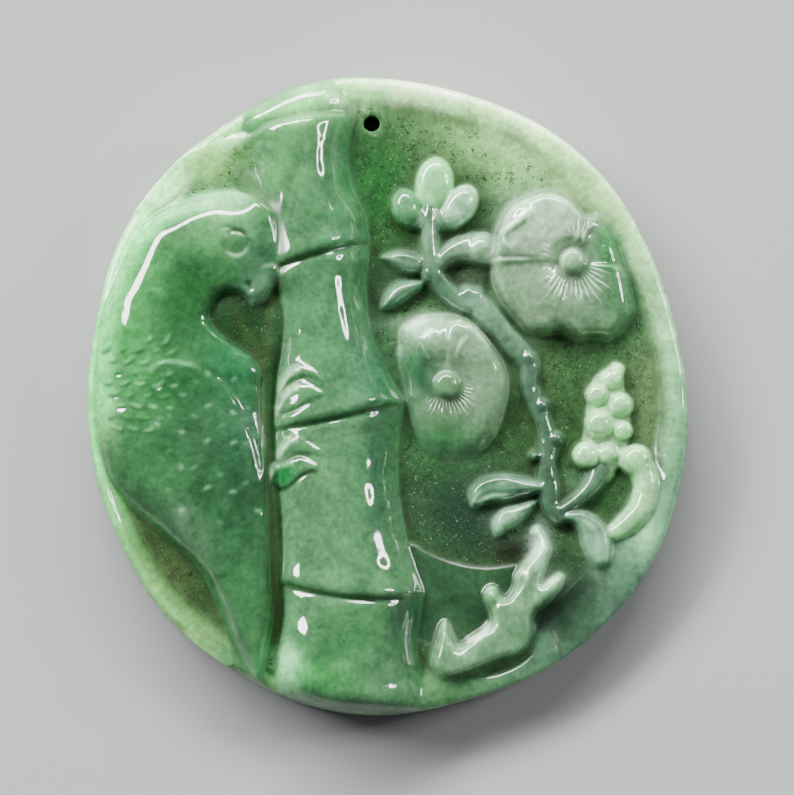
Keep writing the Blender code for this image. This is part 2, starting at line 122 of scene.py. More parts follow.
def round_edge(values):
    """Values spaced evenly around the plaque and joined by a curve, at each point of the net."""
    table = smooth([np.atleast_1d(value) for value in values], 8, closed=True)
    turns = np.arctan2(Y, X) / (2 * math.pi) % 1 * len(table)
    steps = np.arange(len(table))
    columns = [np.interp(turns, steps, column, period=len(table)) for column in table.T]
    return np.stack(columns, axis=-1)


edge_radius, rim_width, rim_rise, fall_start = (
    round_edge(values)[..., 0] for values in (EDGE_RADII, RIM_WIDTHS, RIM_RISES, RIM_FALLS))
rim_crest = GROUND + rim_rise
inset = edge_radius - np.hypot(X, Y)
share = inset / rim_width
outer = WALL_TOP + (rim_crest - WALL_TOP) * swell(share / CREST_SHARE)
fall = (share - fall_start) / (1 + RIM_FOOT / rim_width - fall_start)
inner = rim_crest - (rim_crest - GROUND) * ease(fall)
height[:] = np.where(share < CREST_SHARE, outer, inner)
on_rim = 1 - ease((inset - 0.75 * rim_width) / (0.6 * rim_width))
matt[:] = 1 - np.clip(2 * on_rim, 0, 1)
ground_tint = linear(GROUND_COLOUR)
rim_tint = round_edge([linear(colour) for colour in RIM_COLOURS_AND_LIGHT])
tint[:] = ground_tint + (rim_tint - ground_tint) * on_rim[..., None]

# The ground is less deep in the corner above the parrot and in the crescent beside its tail: routes of
# (x, y, half width), each with its rise
SHALLOWS = (
    (((-22.5, 17.6, 2.4), (-18.5, 20.6, 3.4), (-14.5, 21.8, 3.8), (-11.5, 22.2, 3.8)), 1.4),
    (((-25.2, -9, 1.6), (-22, -14, 3.6), (-18.4, -19, 3.8), (-15.6, -24, 2.4)), 1.5))


def around(points, reach):
    """Rows and columns of the net that hold these points and a margin of so many mm."""
    points = np.array(points)[:, :2]
    low = np.searchsorted(axis, points.min(axis=0) - reach)
    high = np.searchsorted(axis, points.max(axis=0) + reach)
    return slice(low[1], high[1]), slice(low[0], high[0])


def oval(centre, radii, lean, margin):
    """Part of the net about an oval leant to the left, and each point's place across and along it in radii:
    x cos + y sin and y cos - x sin of the lean, from the centre."""
    place = around([centre], margin * max(radii))
    turn = math.radians(lean)
    dx, dy = X[place] - centre[0], Y[place] - centre[1]
    across = (dx * math.cos(turn) + dy * math.sin(turn)) / radii[0]
    up = (dy * math.cos(turn) - dx * math.sin(turn)) / radii[1]
    return place, across, up


def blend(place, colour, share):
    """Mixes a linear colour into the tint by a share at each point: tint + (colour - tint) * share."""
    tint[place] += (colour - tint[place]) * share[..., None]


def tinge(centre, radii, colour, strength=0.7, lean=0):
    """Mixes a colour into the tint around a centre, by strength times e^-(distance / radius)^2."""
    place, across, up = oval(centre, radii, lean, 2.2)
    blend(place, linear(colour), strength * np.exp(-across ** 2 - up ** 2))


# Patches of colour on the ground: paler towards the top, darker towards the bottom and in the pockets;
# partly the stone's own tone, partly painted light from above and painted shade in the pockets
tinge((-1, 20), (2.4, 6), "#2f8a40", 0.8)
tinge((12, 22.8), (9.5, 3.2), "#aed49c", 0.9, lean=-25)
tinge((19.5, 19), (5, 2.6), "#b4d29c", 0.7, lean=-50)
tinge((8, -11), (6.5, 4.5), "#3d6651", 0.85)
tinge((24.2, 0), (1.8, 9), "#86a276", 0.85)
tinge((-0.9, 9.2), (1.6, 3), "#3f6c40", 0.9)
tinge((7.6, 11), (2, 1.6), "#44643a", 0.6)
tinge((20.8, -9.7), (2.4, 2.4), "#3a7036", 0.9)
tinge((-17, 22), (4, 2.6), "#9cc886", 0.9)
tinge((-20.6, -16), (1.8, 6.5), "#607f4a", 0.9, lean=38)
tinge((11.8, -14.6), (2.2, 1.6), "#3c3a20", 0.85)


def nearest(x, y, line):
    """Distance of each point from a line of points, and how far along it the nearest place is, in points:
    on each stretch, the foot of the upright line from the point, kept between its ends."""
    gap = np.full(x.shape, np.inf)
    along = np.zeros(x.shape)
    for number, (start, end) in enumerate(zip(line[:-1, :2], line[1:, :2])):
        run = end - start
        ahead = (x - start[0]) * run[0] + (y - start[1]) * run[1]
        share = np.clip(ahead / (run @ run), 0, 1)
        here = np.hypot(x - start[0] - share * run[0], y - start[1] - share * run[1])
        along = np.where(here < gap, number + share, along)
        gap = np.minimum(gap, here)
    return gap, along


def beside(line, reach):
    """Part of the net within reach of a line of points, with distance from it and place along it."""
    place = around(line, reach)
    return (place, *nearest(X[place], Y[place], line))


def inside(x, y, outline):
    """True where a closed outline is crossed an odd number of times on the way out to the right."""
    odd = np.zeros(x.shape, bool)
    for (ax, ay), (bx, by) in zip(outline, np.roll(outline, -1, axis=0)):
        spans = (ay > y) != (by > y)
        crossing = ax + (y - ay) * (bx - ax) / (by - ay if by != ay else 1)
        odd ^= spans & (x < crossing)
    return odd


def lay(place, form, colour, finish=0):
    """Raises the carving to a form where that is higher: the larger of the two heights, with the form's
    colour and its finish, 0 for polished and 1 for matt."""
    higher = (form > height[place]) & (form > GROUND + 0.01)
    height[place] = np.where(higher, form, height[place])
    tint[place] = np.where(higher[..., None], linear(colour), tint[place])
    matt[place] = np.where(higher, finish, matt[place])


def ridge(route, colour, foot=GROUND, fullness=2.2, finish=0):
    """Rounded strip along a route of (x, y, half width, crest): it rises from foot to crest by the swell of
    1 - distance / half width."""
    line = smooth(route)
    place, gap, along = beside(line, line[:, 2].max())
    half, crest = (np.interp(along, np.arange(len(line)), line[:, k]) for k in (2, 3))
    form = foot + (crest - foot) * swell(1 - gap / half, fullness)
    lay(place, np.where(gap < half, form, GROUND), colour, finish)


def dome(centre, radii, crest, colour, lean=0, foot=GROUND, fullness=2.0):
    """Half an egg leant to the left by so many degrees: it rises from foot to crest by the swell of
    1 - distance / radius."""
    place, across, up = oval(centre, radii, lean, 1)
    reach = np.hypot(across, up)
    lay(place, np.where(reach < 1, foot + (crest - foot) * swell(1 - reach, fullness), GROUND), colour)


def groove(route, width, depth, colour=None, taper=True, dirty=0):
    """Cuts a line into the carving, or raises one where the depth is negative: depth times e^-(distance /
    width)^2, shallower to its ends."""
    line = smooth(route)
    place, gap, along = beside(line, 3 * width)
    run = along / (len(line) - 1)
    ends = np.sqrt(np.clip(4 * run * (1 - run), 0, 1)) if taper else 1
    bell = np.exp(-(gap / width) ** 2)
    height[place] -= depth * ends * bell
    soil[place] += dirty * ends * bell
    if colour:
        blend(place, linear(colour), 0.8 * ends * bell)


def shape(outline):
    """Part of the net about a closed smooth outline, and how far in from its edge each point is, or 0."""
    outline = smooth(outline, closed=True)
    place, gap, _ = beside(np.vstack([outline, outline[:1]]), 0.3)
    return place, np.where(inside(X[place], Y[place], outline), gap, 0)


for route, rise in SHALLOWS:
    line = smooth(route)
    place, gap, along = beside(line, line[:, 2].max())
    half = np.interp(along, np.arange(len(line)), line[:, 2])
    height[place] = np.maximum(height[place], GROUND + rise * ease(3 * (1 - gap / half)))

# The rock at the lower right
# A coral-like rock with lobes and hollows, polished, standing on a low mound whose upper edge is cut sharp.
ROCK = 6.3
ROCK_COLOUR = "#86ad88"
ROCK_OUTLINE = (
    (13.9, -12.2), (13.2, -12.9), (13.7, -13.6), (13.4, -14.6), (12.2, -15.9), (11.6, -17), (11.5, -18),
    (10.8, -18.9), (10.1, -17.9), (9.2, -17.9), (8.7, -19), (9.3, -20.6), (9.2, -21.6), (8, -22.4),
    (6.6, -23.3), (5.9, -22.3), (5.3, -21.1), (4.7, -21.6), (4.2, -23.2), (3.8, -25.4), (5.2, -26.8),
    (7.8, -26.2), (10, -25.3), (12.3, -24.5), (13.4, -22.9), (13.7, -20.8), (14.6, -20), (16, -18.5),
    (16.5, -17.2), (15.9, -16.7), (14.7, -17.2), (14.5, -17.4), (14.9, -16), (15.3, -14.6), (14.9, -13.4))
MOUND_COLOUR = "#55805a"
MOUND_EDGE = ((2.4, -13.9), (4, -14.9), (6.8, -15.8), (9.4, -16.1), (12.6, -15.7))
MOUND_REACH = 9
MOUND_RISE = 0.32
# Where the mound runs out to the right, and over what width
MOUND_END = 11.5
MOUND_FADE = 1.5


def bank(share):
    """Slope with a rounded brow, from 0 at share 0 to almost 1 past share 1: s / (1 + s^4)^(1/4)."""
    share = np.clip(share, 0, None)
    return share / (1 + share ** 4) ** 0.25


line = smooth(MOUND_EDGE)
place = around(MOUND_EDGE, MOUND_REACH)
gap, _ = nearest(X[place], Y[place], line)
below = Y[place] < np.interp(X[place], line[:, 0], line[:, 1])
mound = GROUND + MOUND_RISE * swell(gap / 0.35) * (1 - ease(gap / MOUND_REACH)) * below
mound = GROUND + (mound - GROUND) * (1 - ease((X[place] - MOUND_END) / MOUND_FADE))
lay(place, mound, MOUND_COLOUR)
tinge((17.6, -18.4), (2.6, 3.6), "#446c4c", 0.95)
# Painted light: the rim's pale colour is laid below the curl's end, where the curl's shadow falls, to take
# that shadow out
tinge((24.4, -12.8), (2.4, 3), "#a4d0ac", 0.9)
place, depth = shape(ROCK_OUTLINE)
lay(place, GROUND + (ROCK - GROUND) * bank(depth / 0.6), ROCK_COLOUR)
groove(MOUND_EDGE, 0.25, 0, taper=False, dirty=0.2)
groove(((12.1, -16.2), (12.7, -16.6), (12.4, -17.6), (11.9, -18.6)), 0.25, 0.25)
groove(((10.3, -17.9), (10.2, -19.2), (9.6, -20.2)), 0.3, 0.3)
groove(((9.3, -18.1), (9, -18.9), (9.4, -19.6)), 0.3, -0.2)
groove(((14.4, -17.4), (13.2, -18.6), (12.6, -20)), 0.7, 0.3)
groove(((5.4, -23), (6.6, -24), (8.2, -24.1)), 0.6, 0.25)
groove(((15.3, -21.9), (15.6, -22.9), (16.2, -24.6)), 0.2, 0.3, dirty=0.5)
groove(((13.6, -22.4), (12.9, -24.2), (10.9, -25.6), (8.6, -26.5)), 0.35, 0.4, dirty=0.35)
# The pale colour of the next two raised strokes is painted highlight along the rock's ridges
groove(((7.2, -23), (8.5, -22.7), (9.4, -21.3)), 0.3, -0.25, "#d6e8d8")
groove(((12.2, -16.3), (12.8, -16.9), (12.9, -17.4)), 0.2, -0.15, "#cfe2d2")
tinge((14.1, -14.2), (1.1, 2.2), "#cfe4d8", 0.8)
tinge((15.4, -17.6), (1.2, 1.2), "#b8d2bc")
tinge((5, -24), (1.6, 2.4), "#7aa27c", 0.6)
tinge((14.9, -20.9), (1, 1.6), "#5a7f6c", 0.7, lean=-30)
tinge((16.2, -21.2), (1.4, 2), "#3a5a3c")

# Sprigs: branches, leaves, buds and berries
# Thin knotty branches with veined leaves, three round buds at the top and a bunch of berries at the right,
# all cut lower than the blossoms. A curled stem ends the bunch.
SPRIG = 5.7
BUD = 6.1
BERRY_FOOT = 5.1
SPRIG_COLOUR = "#678a70"
LEAF_COLOUR = "#779b80"
BUD_COLOURS = ("#74aa7c", "#a9cdae", "#9ccf9e")
BERRY_COLOUR = "#a6cda2"
# Branches as routes of (x, y, half width), knots as (x, y, radius), the curled stem as a route with crests
BRANCHES = (
    ((7.4, 9.6, 1), (9, 8, 1.3), (10.8, 6, 1.1), (11.8, 4.7, 1.2), (13.2, 3, 1),
     (13.2, 1, 0.8), (13.9, -0.6, 1), (14.6, -2.6, 0.8), (15, -4.4, 1), (14.9, -6.6, 0.9),
     (15, -8.6, 1), (15.2, -10.4, 0.9), (15.9, -11.6, 0.7)),
    ((3.8, 17.6, 0.8), (3.8, 15, 0.85), (3.9, 12.4, 1)),
    ((3.9, 11.6, 1), (4.9, 12.7, 0.9), (6.2, 13.7, 1.2), (8.2, 14, 1.6), (10.4, 12.9, 1.1)),
    ((4.1, 12, 0.9), (5, 10.4, 1), (6.6, 9, 1), (7.8, 8.8, 1.3)),
    ((16, -10.8, 0.6), (17.6, -9.9, 0.7), (19, -8.6, 0.9), (19.9, -7, 1.2)))
KNOTS = ((8.2, 9.4, 1), (13.1, 3.6, 0.9), (15.6, -4.1, 0.9), (14.3, -0.9, 0.9), (13.6, -5.7, 0.5))
CURL = (
    (23, -6.2, 1.3, 6.2), (23.9, -7.2, 1.3, 6.2), (24.2, -8.8, 1.3, 6.2), (23.7, -10.6, 1.3, 6),
    (22.5, -12, 1.2, 5.6), (21.3, -12.8, 0.9, 5.1))
# The pad that the berries sit on as (x, y, half width), and the berries as (x, y, radius)
BERRY_PAD = (
    (21.4, 2.4, 1), (20.6, 0.6, 2), (20.6, -2, 2.3), (20.2, -5.6, 2.3), (20, -7, 1.5))
BERRIES = (
    (21, 1.6, 1.05), (19.5, 0.1, 1.05), (21.8, -0.9, 1.15), (19.7, -2.7, 1.35), (22, -3.3, 0.9),
    (18.5, -5.6, 1.25), (20.4, -5.5, 0.9), (23.2, -6.1, 1.5))
# Buds: centre, half width and half length, and lean to the left
BUDS = (((1.55, 17.9), (1.4, 1.9), 12), ((6.6, 18), (1.55, 2.3), -35), ((4.25, 20.1), (1.85, 2.6), -7))
# Leaves: outline, and midrib
LEAVES = (
    (((-0.8, 13.3), (0.9, 13.9), (2.5, 13.6), (3.4, 12.9), (3, 11.6), (1.4, 11.5), (-0.2, 12.6)),
     ((-0.6, 13.1), (1.2, 12.7), (3.2, 12.3))),
    (((-0.9, 8.3), (-0.7, 9.5), (0.3, 10.6), (1.7, 11.1), (3.2, 10.9), (3.1, 10.2), (1.9, 9.3),
      (0.3, 8.3)),
     ((-0.6, 8.4), (0.7, 9.8), (2.4, 10.6))),
    (((14.7, -8.2), (12.4, -7.5), (10.4, -7.3), (8.6, -7.7), (7.6, -8.6), (7.3, -9.6), (7.8, -10.7),
      (9.3, -10.3), (10.9, -10.2), (12.5, -9.7), (13.8, -9.4), (14.8, -9)),
     ((7.7, -10.4), (8.4, -9.2), (10, -8.5), (11.8, -8.2), (14.6, -8.4))),
    (((13.9, -9.8), (11.8, -10.1), (10.4, -10.6), (9.7, -11.6), (9.6, -12.6), (10.1, -13.4),
      (10.9, -12.8), (12, -12.2), (13, -11.4), (13.6, -10.7)),
     ((10.1, -12.8), (11.2, -11.3), (13.4, -10.1))),
    (((16.2, -10.9), (18, -10.6), (19.3, -11.2), (20.4, -12.1), (21, -13.4), (21, -15),
      (20.7, -16), (19.5, -16.3), (18.6, -15.4), (18, -14.2), (17.7, -12.9), (17.2, -12.2),
      (16.2, -11.9)),
     ((16.6, -11.4), (18.3, -11.9), (19.4, -12.8), (19.6, -15))))
# Small notches across the branches, each a pale cut with a dark side
NOTCHES = (
    ((11.3, 5.6), (12.5, 4.2)), ((14, 1.1), (14.2, 0.1)), ((13.5, -0.4), (13.6, -0.8)),
    ((14.8, -1.2), (15, -1.7)), ((14.9, -3.6), (15.3, -4.1)), ((16.2, -4.1), (15.9, -5.8)),
    ((15.8, -7.7), (15.7, -9.2), (15.9, -10.4)), ((16.2, -10.5), (17, -9.9), (18.5, -8.4)))

# The pit where the branches meet is left a little above the ground
ridge(((4.6, 12, 2, 4.5), (7.6, 11.2, 2, 4.5)), "#4a6a42", finish=1)
for route in BRANCHES:
    ridge([(x, y, half, SPRIG - 0.3 * (y < 6)) for x, y, half in route], SPRIG_COLOUR)
for x, y, radius in KNOTS:
    dome((x, y), (radius, radius), SPRIG, SPRIG_COLOUR)
for outline, midrib in LEAVES:
    place, depth = shape(outline)
    lay(place, GROUND + (SPRIG - GROUND) * bank(depth / 0.55), LEAF_COLOUR)
    groove(midrib, 0.35, 0.3)
    groove(midrib, 0.14, -0.16, "#b5d0ba")
groove(((8, -9.9), (9.6, -9.2), (11.6, -9.1), (13.6, -9)), 0.18, 0.2, "#5f8468")
groove(((8.2, -10.3), (9.4, -9.6), (11.2, -9.5)), 0.16, -0.12, "#c2d8c6")
tinge((1.4, 12.6), (2.4, 1.2), "#6c9273", 0.6)
tinge((1.2, 9.8), (2.2, 1.4), "#6a9274", 0.6)
tinge((18.8, -7.9), (2.2, 1.6), "#86ac8c")
tinge((11, -8.7), (2.8, 0.8), "#6c9878")
tinge((19.8, -14.6), (1.4, 1.8), "#9cc0a4", 0.8)
tinge((11, -11.9), (1.6, 1.4), "#a3c0a8", 0.8)
tinge((8.4, -8), (1.2, 0.9), "#5c7f66")
tinge((3.9, 14.6), (1, 2.6), "#8fb494")
tinge((9, 13.7), (4.4, 1.7), "#a3c0a4", 0.85)
tinge((8.2, 8.4), (3, 2), "#8fb498", 0.8)
tinge((11.2, 5), (2.6, 3.2), "#84a68c")
dome((8.5, 14.1), (1.7, 1.4), SPRIG + 0.4, "#a3c0a4", lean=30)
ridge(CURL, BERRY_COLOUR)
ridge([(x, y, half - 0.2, BERRY_FOOT + 0.1) for x, y, half in BERRY_PAD], BERRY_COLOUR)
for x, y, radius in BERRIES:
    dome((x, y), (radius, radius), BERRY_FOOT + 0.85 * radius, BERRY_COLOUR, foot=BERRY_FOOT, fullness=2.2)
ridge(((1.9, 16.6, 0.8, 5.3), (3.9, 16.9, 1.3, 5.5), (6, 16.5, 0.8, 5.3)), "#8fb494")
for (centre, radii, lean), colour in zip(BUDS, BUD_COLOURS):
    dome(centre, radii, BUD, colour, lean, foot=GROUND + 0.3, fullness=2.5)
for notch in NOTCHES:
    groove(notch, 0.14, -0.14)
    groove([(x - 0.35, y - 0.1) for x, y in notch], 0.25, 0.15)

# Blossoms
# Two wide open blossoms, each with overlapping petals that sink to a cup around a round pistil. The petals
# are engraved with fine lines that run out from the cup.
BLOSSOM = 7.1
UPPER_CENTRE = (17.2, 12.65)
UPPER_BLOSSOM = (
    (9.6, 13.6), (9.9, 15.6), (11, 18), (12.1, 18.8), (14.4, 19.6), (16.7, 19), (18.5, 17.4),
    (19.9, 17.3), (21.4, 15.3), (22.6, 12.4), (23.3, 8.4), (22.6, 6.6), (21, 5.2), (19, 5.2),
    (17.8, 5.1), (16, 5.8), (14.6, 5.6), (13, 6), (11.8, 7.2), (10.4, 9), (9.6, 11))
LOWER_CENTRE = (5.4, 0.94)
LOWER_BLOSSOM = (
    (1, 6.5), (3, 7.7), (5.5, 7.9), (7.2, 7.5), (8.5, 6.4), (10, 4.6), (11.1, 2.6), (11.3, 0.4),
    (10.7, -2.2), (9.9, -4), (8.4, -5.6), (6.6, -6.5), (5.2, -6.3), (3.7, -5.5), (2.4, -3.6), (1.5, -0.2),
    (1.2, 1.5), (0.8, 3.2), (0.8, 5))
BLOSSOM_COLOUR = "#96b293"
PISTIL_COLOUR = "#86a883"
# Level of the petals above or below BLOSSOM, by direction in degrees from the middle: a jump is a fold
UPPER_LEVELS = (
    (-175, -0.55), (-110, -0.45), (-104, -0.75), (-30, -0.95), (-8, -0.9), (-3, -1.15), (55, -1.1),
    (66, -0.7), (72, -0.75), (80, -0.1), (130, 0.1), (178, -0.1))
LOWER_LEVELS = (
    (-150, -1.2), (-100, -1.5), (-50, -1.1), (-12, -0.5), (20, -0.3), (60, -0.1), (85, -0.05), (92, -0.35),
    (120, -0.15), (160, -0.5))
# By direction again: how far out the cup reaches, and how far in the edge rounds off
UPPER_CUP = ((-90, 3), (0, 1.8), (60, 1.2), (90, 1.2), (170, 1), (-150, 1.6))
LOWER_CUP = ((-90, 2), (0, 2), (90, 2.6))
UPPER_BROW = ((-90, 0.9), (0, 1.2), (90, 0.5), (130, 0.9), (180, 0.5))
LOWER_BROW = ((-90, 1.8), (-10, 0.8), (70, 0.6), (105, 1.8), (140, 2.2), (175, 1.6), (200, 1.2))
# By direction: how far from the middle the fine lines start and end
UPPER_RAYS = (
    (-150, 2, 3.5), (-90, 1.8, 4.3), (-20, 1.8, 4.4), (-5, 3, 3), (70, 3, 3), (84, 2.4, 2.9),
    (180, 2.3, 2.9), (195, 2.2, 3.4))
LOWER_RAYS = (
    (-150, 2, 2), (-125, 1.5, 3), (-60, 1.5, 3.2), (-15, 1.6, 3.2), (5, 2, 2), (180, 3, 3))
CUP_DEPTH = 0.9
RAY_COUNT = 40
PISTIL_RADIUS = 1.12


def circle(centre, radius):
    """Points every 30 degrees on a closed circle: the centre and radius times cosine and sine."""
    turns = np.radians(np.arange(0, 361, 30))
    return np.array(centre) + radius * np.column_stack([np.cos(turns), np.sin(turns)])


def blossom(centre, outline, levels, cup, edge, rays):
    """Open blossom: the petal's level less the cup's soft step down to the middle, rounded off at the edge.
    The fine lines' turn is the direction times their count, and they fade in and out along their length."""
    place, depth = shape(outline)
    dx, dy = X[place] - centre[0], Y[place] - centre[1]
    angle = np.degrees(np.arctan2(dy, dx))
    distance = np.hypot(dx, dy)
    level, reach, brow = (np.interp(angle, *zip(*table), period=360) for table in (levels, cup, edge))
    level *= ease(distance / 3.5)
    sunk = CUP_DEPTH * (1 - ease((distance - 1.3) / reach))
    crest = BLOSSOM + level - sunk
    lay(place, np.where(depth > 0, GROUND + (crest - GROUND) * bank(depth / brow), GROUND), BLOSSOM_COLOUR)
    on_top = ease(depth / brow - 0.6)
    turns, starts, ends = zip(*rays)
    first, last = (np.interp(angle, turns, places, period=360) for places in (starts, ends))
    ray_turn[place] = np.where(depth > 0, np.radians((angle - 45) % 360) * RAY_COUNT, ray_turn[place])
    last = last * (1 + 0.14 * np.sin(np.radians(5 * angle)) + 0.1 * np.sin(np.radians(17 * angle)))
    lines = ease((distance - first) / 0.3) * ease((last - distance) / (0.3 + 0.5 * (last - first)))
    ray_share[place] = np.where(depth > 0, lines * on_top, ray_share[place])
    radii = (PISTIL_RADIUS, PISTIL_RADIUS)
    dome(centre, radii, BLOSSOM - 0.2, PISTIL_COLOUR, foot=BLOSSOM - 0.9, fullness=3)
    groove(circle(centre, PISTIL_RADIUS + 0.15), 0.14, 0.12, taper=False)


blossom(UPPER_CENTRE, UPPER_BLOSSOM, UPPER_LEVELS, UPPER_CUP, UPPER_BROW, UPPER_RAYS)
blossom(LOWER_CENTRE, LOWER_BLOSSOM, LOWER_LEVELS, LOWER_CUP, LOWER_BROW, LOWER_RAYS)
tinge((14, 17.2), (3.8, 2.4), "#bcd8c0")
# The near-white of the next raised fold is partly the petal's pale ridge and partly painted highlight
groove(((10.5, 15.2), (11.6, 15.9), (12.6, 16.7), (13.5, 17.6)), 0.3, -0.28, "#e6f6e8")
groove(((10.9, 15), (12, 15.7), (13, 16.5)), 0.3, 0.16, "#88a888")
groove(((10.5, 14.6), (11.2, 14), (12, 14.3)), 0.25, -0.15, "#c5dcc6")
groove(((9.5, 12.95), (12, 13), (14.2, 12.9)), 0.16, 0.2, "#6f8c6b")
groove(((9.5, 12.7), (11.2, 12.7), (13.2, 12.7)), 0.14, -0.12, "#c9dfc8")
groove(((18.2, 16.1), (17.8, 15.3), (17.4, 14.6)), 0.16, -0.16, "#cfe3cf")
groove(((18.8, 16), (18.3, 15.1), (18.2, 14.2)), 0.16, -0.16, "#cfe3cf")
groove(((18.6, 15.8), (19.4, 16.1)), 0.15, -0.12, "#cfe3cf")
groove(((18.3, 12.1), (20.5, 12.1), (22, 11.7)), 0.14, -0.14, "#9fcaa4")
groove(((7, 6.3), (8, 6.3), (8.8, 5.4), (9.4, 4.4)), 0.35, -0.2, "#c6dcc8")
groove(((9.3, 4), (9.9, 2.2), (9.9, 0.4)), 0.3, -0.15)
# The pale colour of the next three raised strokes, on the lower blossom's upper left, is partly painted
# highlight
groove(((1.4, 6.3), (2.6, 6.7), (3.8, 7)), 0.5, -0.25, "#dff0e2")
groove(((3.2, 5.2), (3.7, 5.7), (4.2, 6.2)), 0.35, -0.2, "#d4e8d8")
groove(((1, 4.8), (0.95, 4.1), (1.2, 3.5)), 0.3, -0.2, "#c4dcc8")
for fold in (((5.6, 5.9), (5.6, 5.0)), ((6.8, 7.2), (6.1, 6.4)), ((7.3, 5.5), (6.6, 4.6), (6.2, 3.4)),
             ((4.9, 6.0), (4.6, 5.4))):
    groove(fold, 0.16, -0.16, "#cde2d0")
tinge((20.7, 13.9), (2, 2.9), "#4c9459", 0.9)
tinge((21.6, 8.4), (2.6, 3.4), "#5f9c6c", 0.8)
tinge((17, 7.6), (5, 2.4), "#86a684")
# Painted light: the upper blossom's cup is lightened round its pistil to take out the shade in the cup
tinge((17, 12.9), (2.2, 2.2), "#aac6a8", 0.6)
tinge((2.4, 2), (2.2, 3.2), "#4f8a60", 0.95)
tinge((5.2, -4.6), (4.4, 2.8), "#528f5c", 0.95)
tinge((3.4, 6.8), (3, 1.3), "#b3d0b8")
tinge((8.6, 2.2), (2.2, 3.6), "#8ba98a")

# The parrot
# A parrot seen from the side, the highest form after the bamboo, with beak and breast to the stem. Its
# back is a steep polished wall down to the rim, and a deep notch parts the beak from the breast.
BODY = 7.8
# Back and front edges from the crown down to the tip of the tail
PARROT_EDGES = (
    ((-16.4, 19.6), (-14.8, 19.5)), ((-19.4, 18.9), (-12.4, 18.8)), ((-21.7, 17.9), (-10.9, 17.8)),
    ((-23.2, 16.6), (-10.2, 16.3)), ((-24.4, 14.6), (-9.9, 14)), ((-25.7, 11.6), (-10.1, 10.6)),
    ((-26.6, 9.4), (-12.6, 7.8)), ((-27.2, 7.2), (-16.2, 7.5)), ((-27.6, 4.2), (-14.4, 5)),
    ((-27.7, 1), (-11.1, 2.4)), ((-27.6, -3), (-10.7, -3)), ((-26.2, -8.4), (-10.7, -8.6)),
    ((-22.2, -12.5), (-10.5, -13.2)), ((-18.2, -16.1), (-10.5, -16.9)), ((-16.2, -19.8), (-10.3, -20.4)),
    ((-14.8, -23.6), (-10.8, -23.8)), ((-12.6, -26.8), (-11.5, -27)))
PARROT_COLOUR = "#5c9563"
# The notch's centre and radius
THROAT_NOTCH = (-14.9, 7.7, 1.3)
# Height of the rim behind the head, and how far in the back rounds off
NAPE = 5.5
BACK_REACH = 3.2
TAIL_REACH = 1.8
# How far in the front edge rounds off, from the crown down
FRONT_REACHES = ((18, 0.5), (11, 0.6), (8, 0.7), (3.5, 0.7), (1, 1.6), (-2, 1.6), (-5, 0.9), (-24, 1))
BODY_SWELL = 0.45

back = smooth([pair[0] for pair in PARROT_EDGES])
front = smooth([pair[1] for pair in PARROT_EDGES])
outline = np.vstack([back, front[::-1]])
place = around(outline, 0.5)
x, y = X[place], Y[place]
from_back, _ = nearest(x, y, np.vstack([front[:1], back]))
from_front, _ = nearest(x, y, front)
top = BODY - 0.6 * ease((-14 - y) / 12) - 0.9 * ease((-22 - y) / 5)
back_foot = GROUND + (NAPE - GROUND) * (1 - ease((y - 14) / 5))
back_reach = np.interp(y, (-24, -8), (TAIL_REACH, BACK_REACH))
rise_back = back_foot + (top - back_foot) * swell(from_back / back_reach, 1.5)
levels, reaches = np.array(FRONT_REACHES).T
front_reach = np.interp(-y, -levels, reaches)
rise_front = GROUND + (top - GROUND) * bank(from_front / front_reach)
breadth = from_back / (from_back + from_front)
body = np.minimum(rise_back, rise_front) + BODY_SWELL * np.sin(math.pi * breadth) ** 1.5
body = np.where(inside(x, y, outline), body, GROUND)
notch = np.hypot(x - THROAT_NOTCH[0], y - THROAT_NOTCH[1]) - THROAT_NOTCH[2]
body = GROUND + (body - GROUND) * bank(notch / 0.8)
lay(place, body, PARROT_COLOUR)

# Colour of the parrot: mint along the back, emerald on neck and breast, greyer at the beak. The wall of the
# back, turned to the light, is painted paler, partly its own tone and partly painted light; this colour
# turns from the lower one to the upper one and fades out below.
LOWER_WALL_TONE_AND_LIGHT = linear("#a9c78e")
UPPER_WALL_TONE_AND_LIGHT = linear("#8edc98")
wall_tone_and_light = LOWER_WALL_TONE_AND_LIGHT + (UPPER_WALL_TONE_AND_LIGHT - LOWER_WALL_TONE_AND_LIGHT) * ease((y + 8) / 10)[..., None]
wall = 1 - ease((from_back - 1.1) / 1.7)
wall *= (body > GROUND + 0.1) * ease((y + 7) / 7)
blend(place, wall_tone_and_light, wall)
tinge((-15.5, 16.4), (4.5, 3), "#8cc48e", 0.85)
# The pale band along the top of the head is partly painted light on the crown's wall turned up to the
# light.
tinge((-17, 18.2), (4, 1.2), "#b4e0b8")
tinge((-14.6, 8.4), (2.6, 1.8), "#4f9054", 0.8)
tinge((-12, 12.3), (2.2, 4), "#58896a")
tinge((-12.4, 9.4), (1.9, 2), "#8db496", 0.8)
tinge((-19, 9.4), (3.6, 3.4), "#4a8c52", 0.85)
tinge((-22.8, 11.5), (1.8, 3.5), "#74b878", 0.7, lean=-20)
tinge((-14.6, 2.3), (2.8, 3.8), "#4f9c6e", 0.85)
tinge((-24.3, 4.5), (2.4, 5.5), "#70c07c", 0.75)
tinge((-20.7, 0.4), (2.6, 1.6), "#3d8a4c")
tinge((-16.5, -4), (3, 3), "#5f8f6c", 0.6)
tinge((-18.5, -2.5), (2.4, 4), "#4d8458")
tinge((-17.8, -10), (2, 2), "#447a4c", 0.8)
tinge((-14, -9.5), (2.6, 6), "#4c7f58", 0.75)
tinge((-13.2, -3.4), (1.8, 2.8), "#5f9474")
tinge((-18.6, -12.6), (1.4, 3.4), "#84a888", 0.7, lean=35)
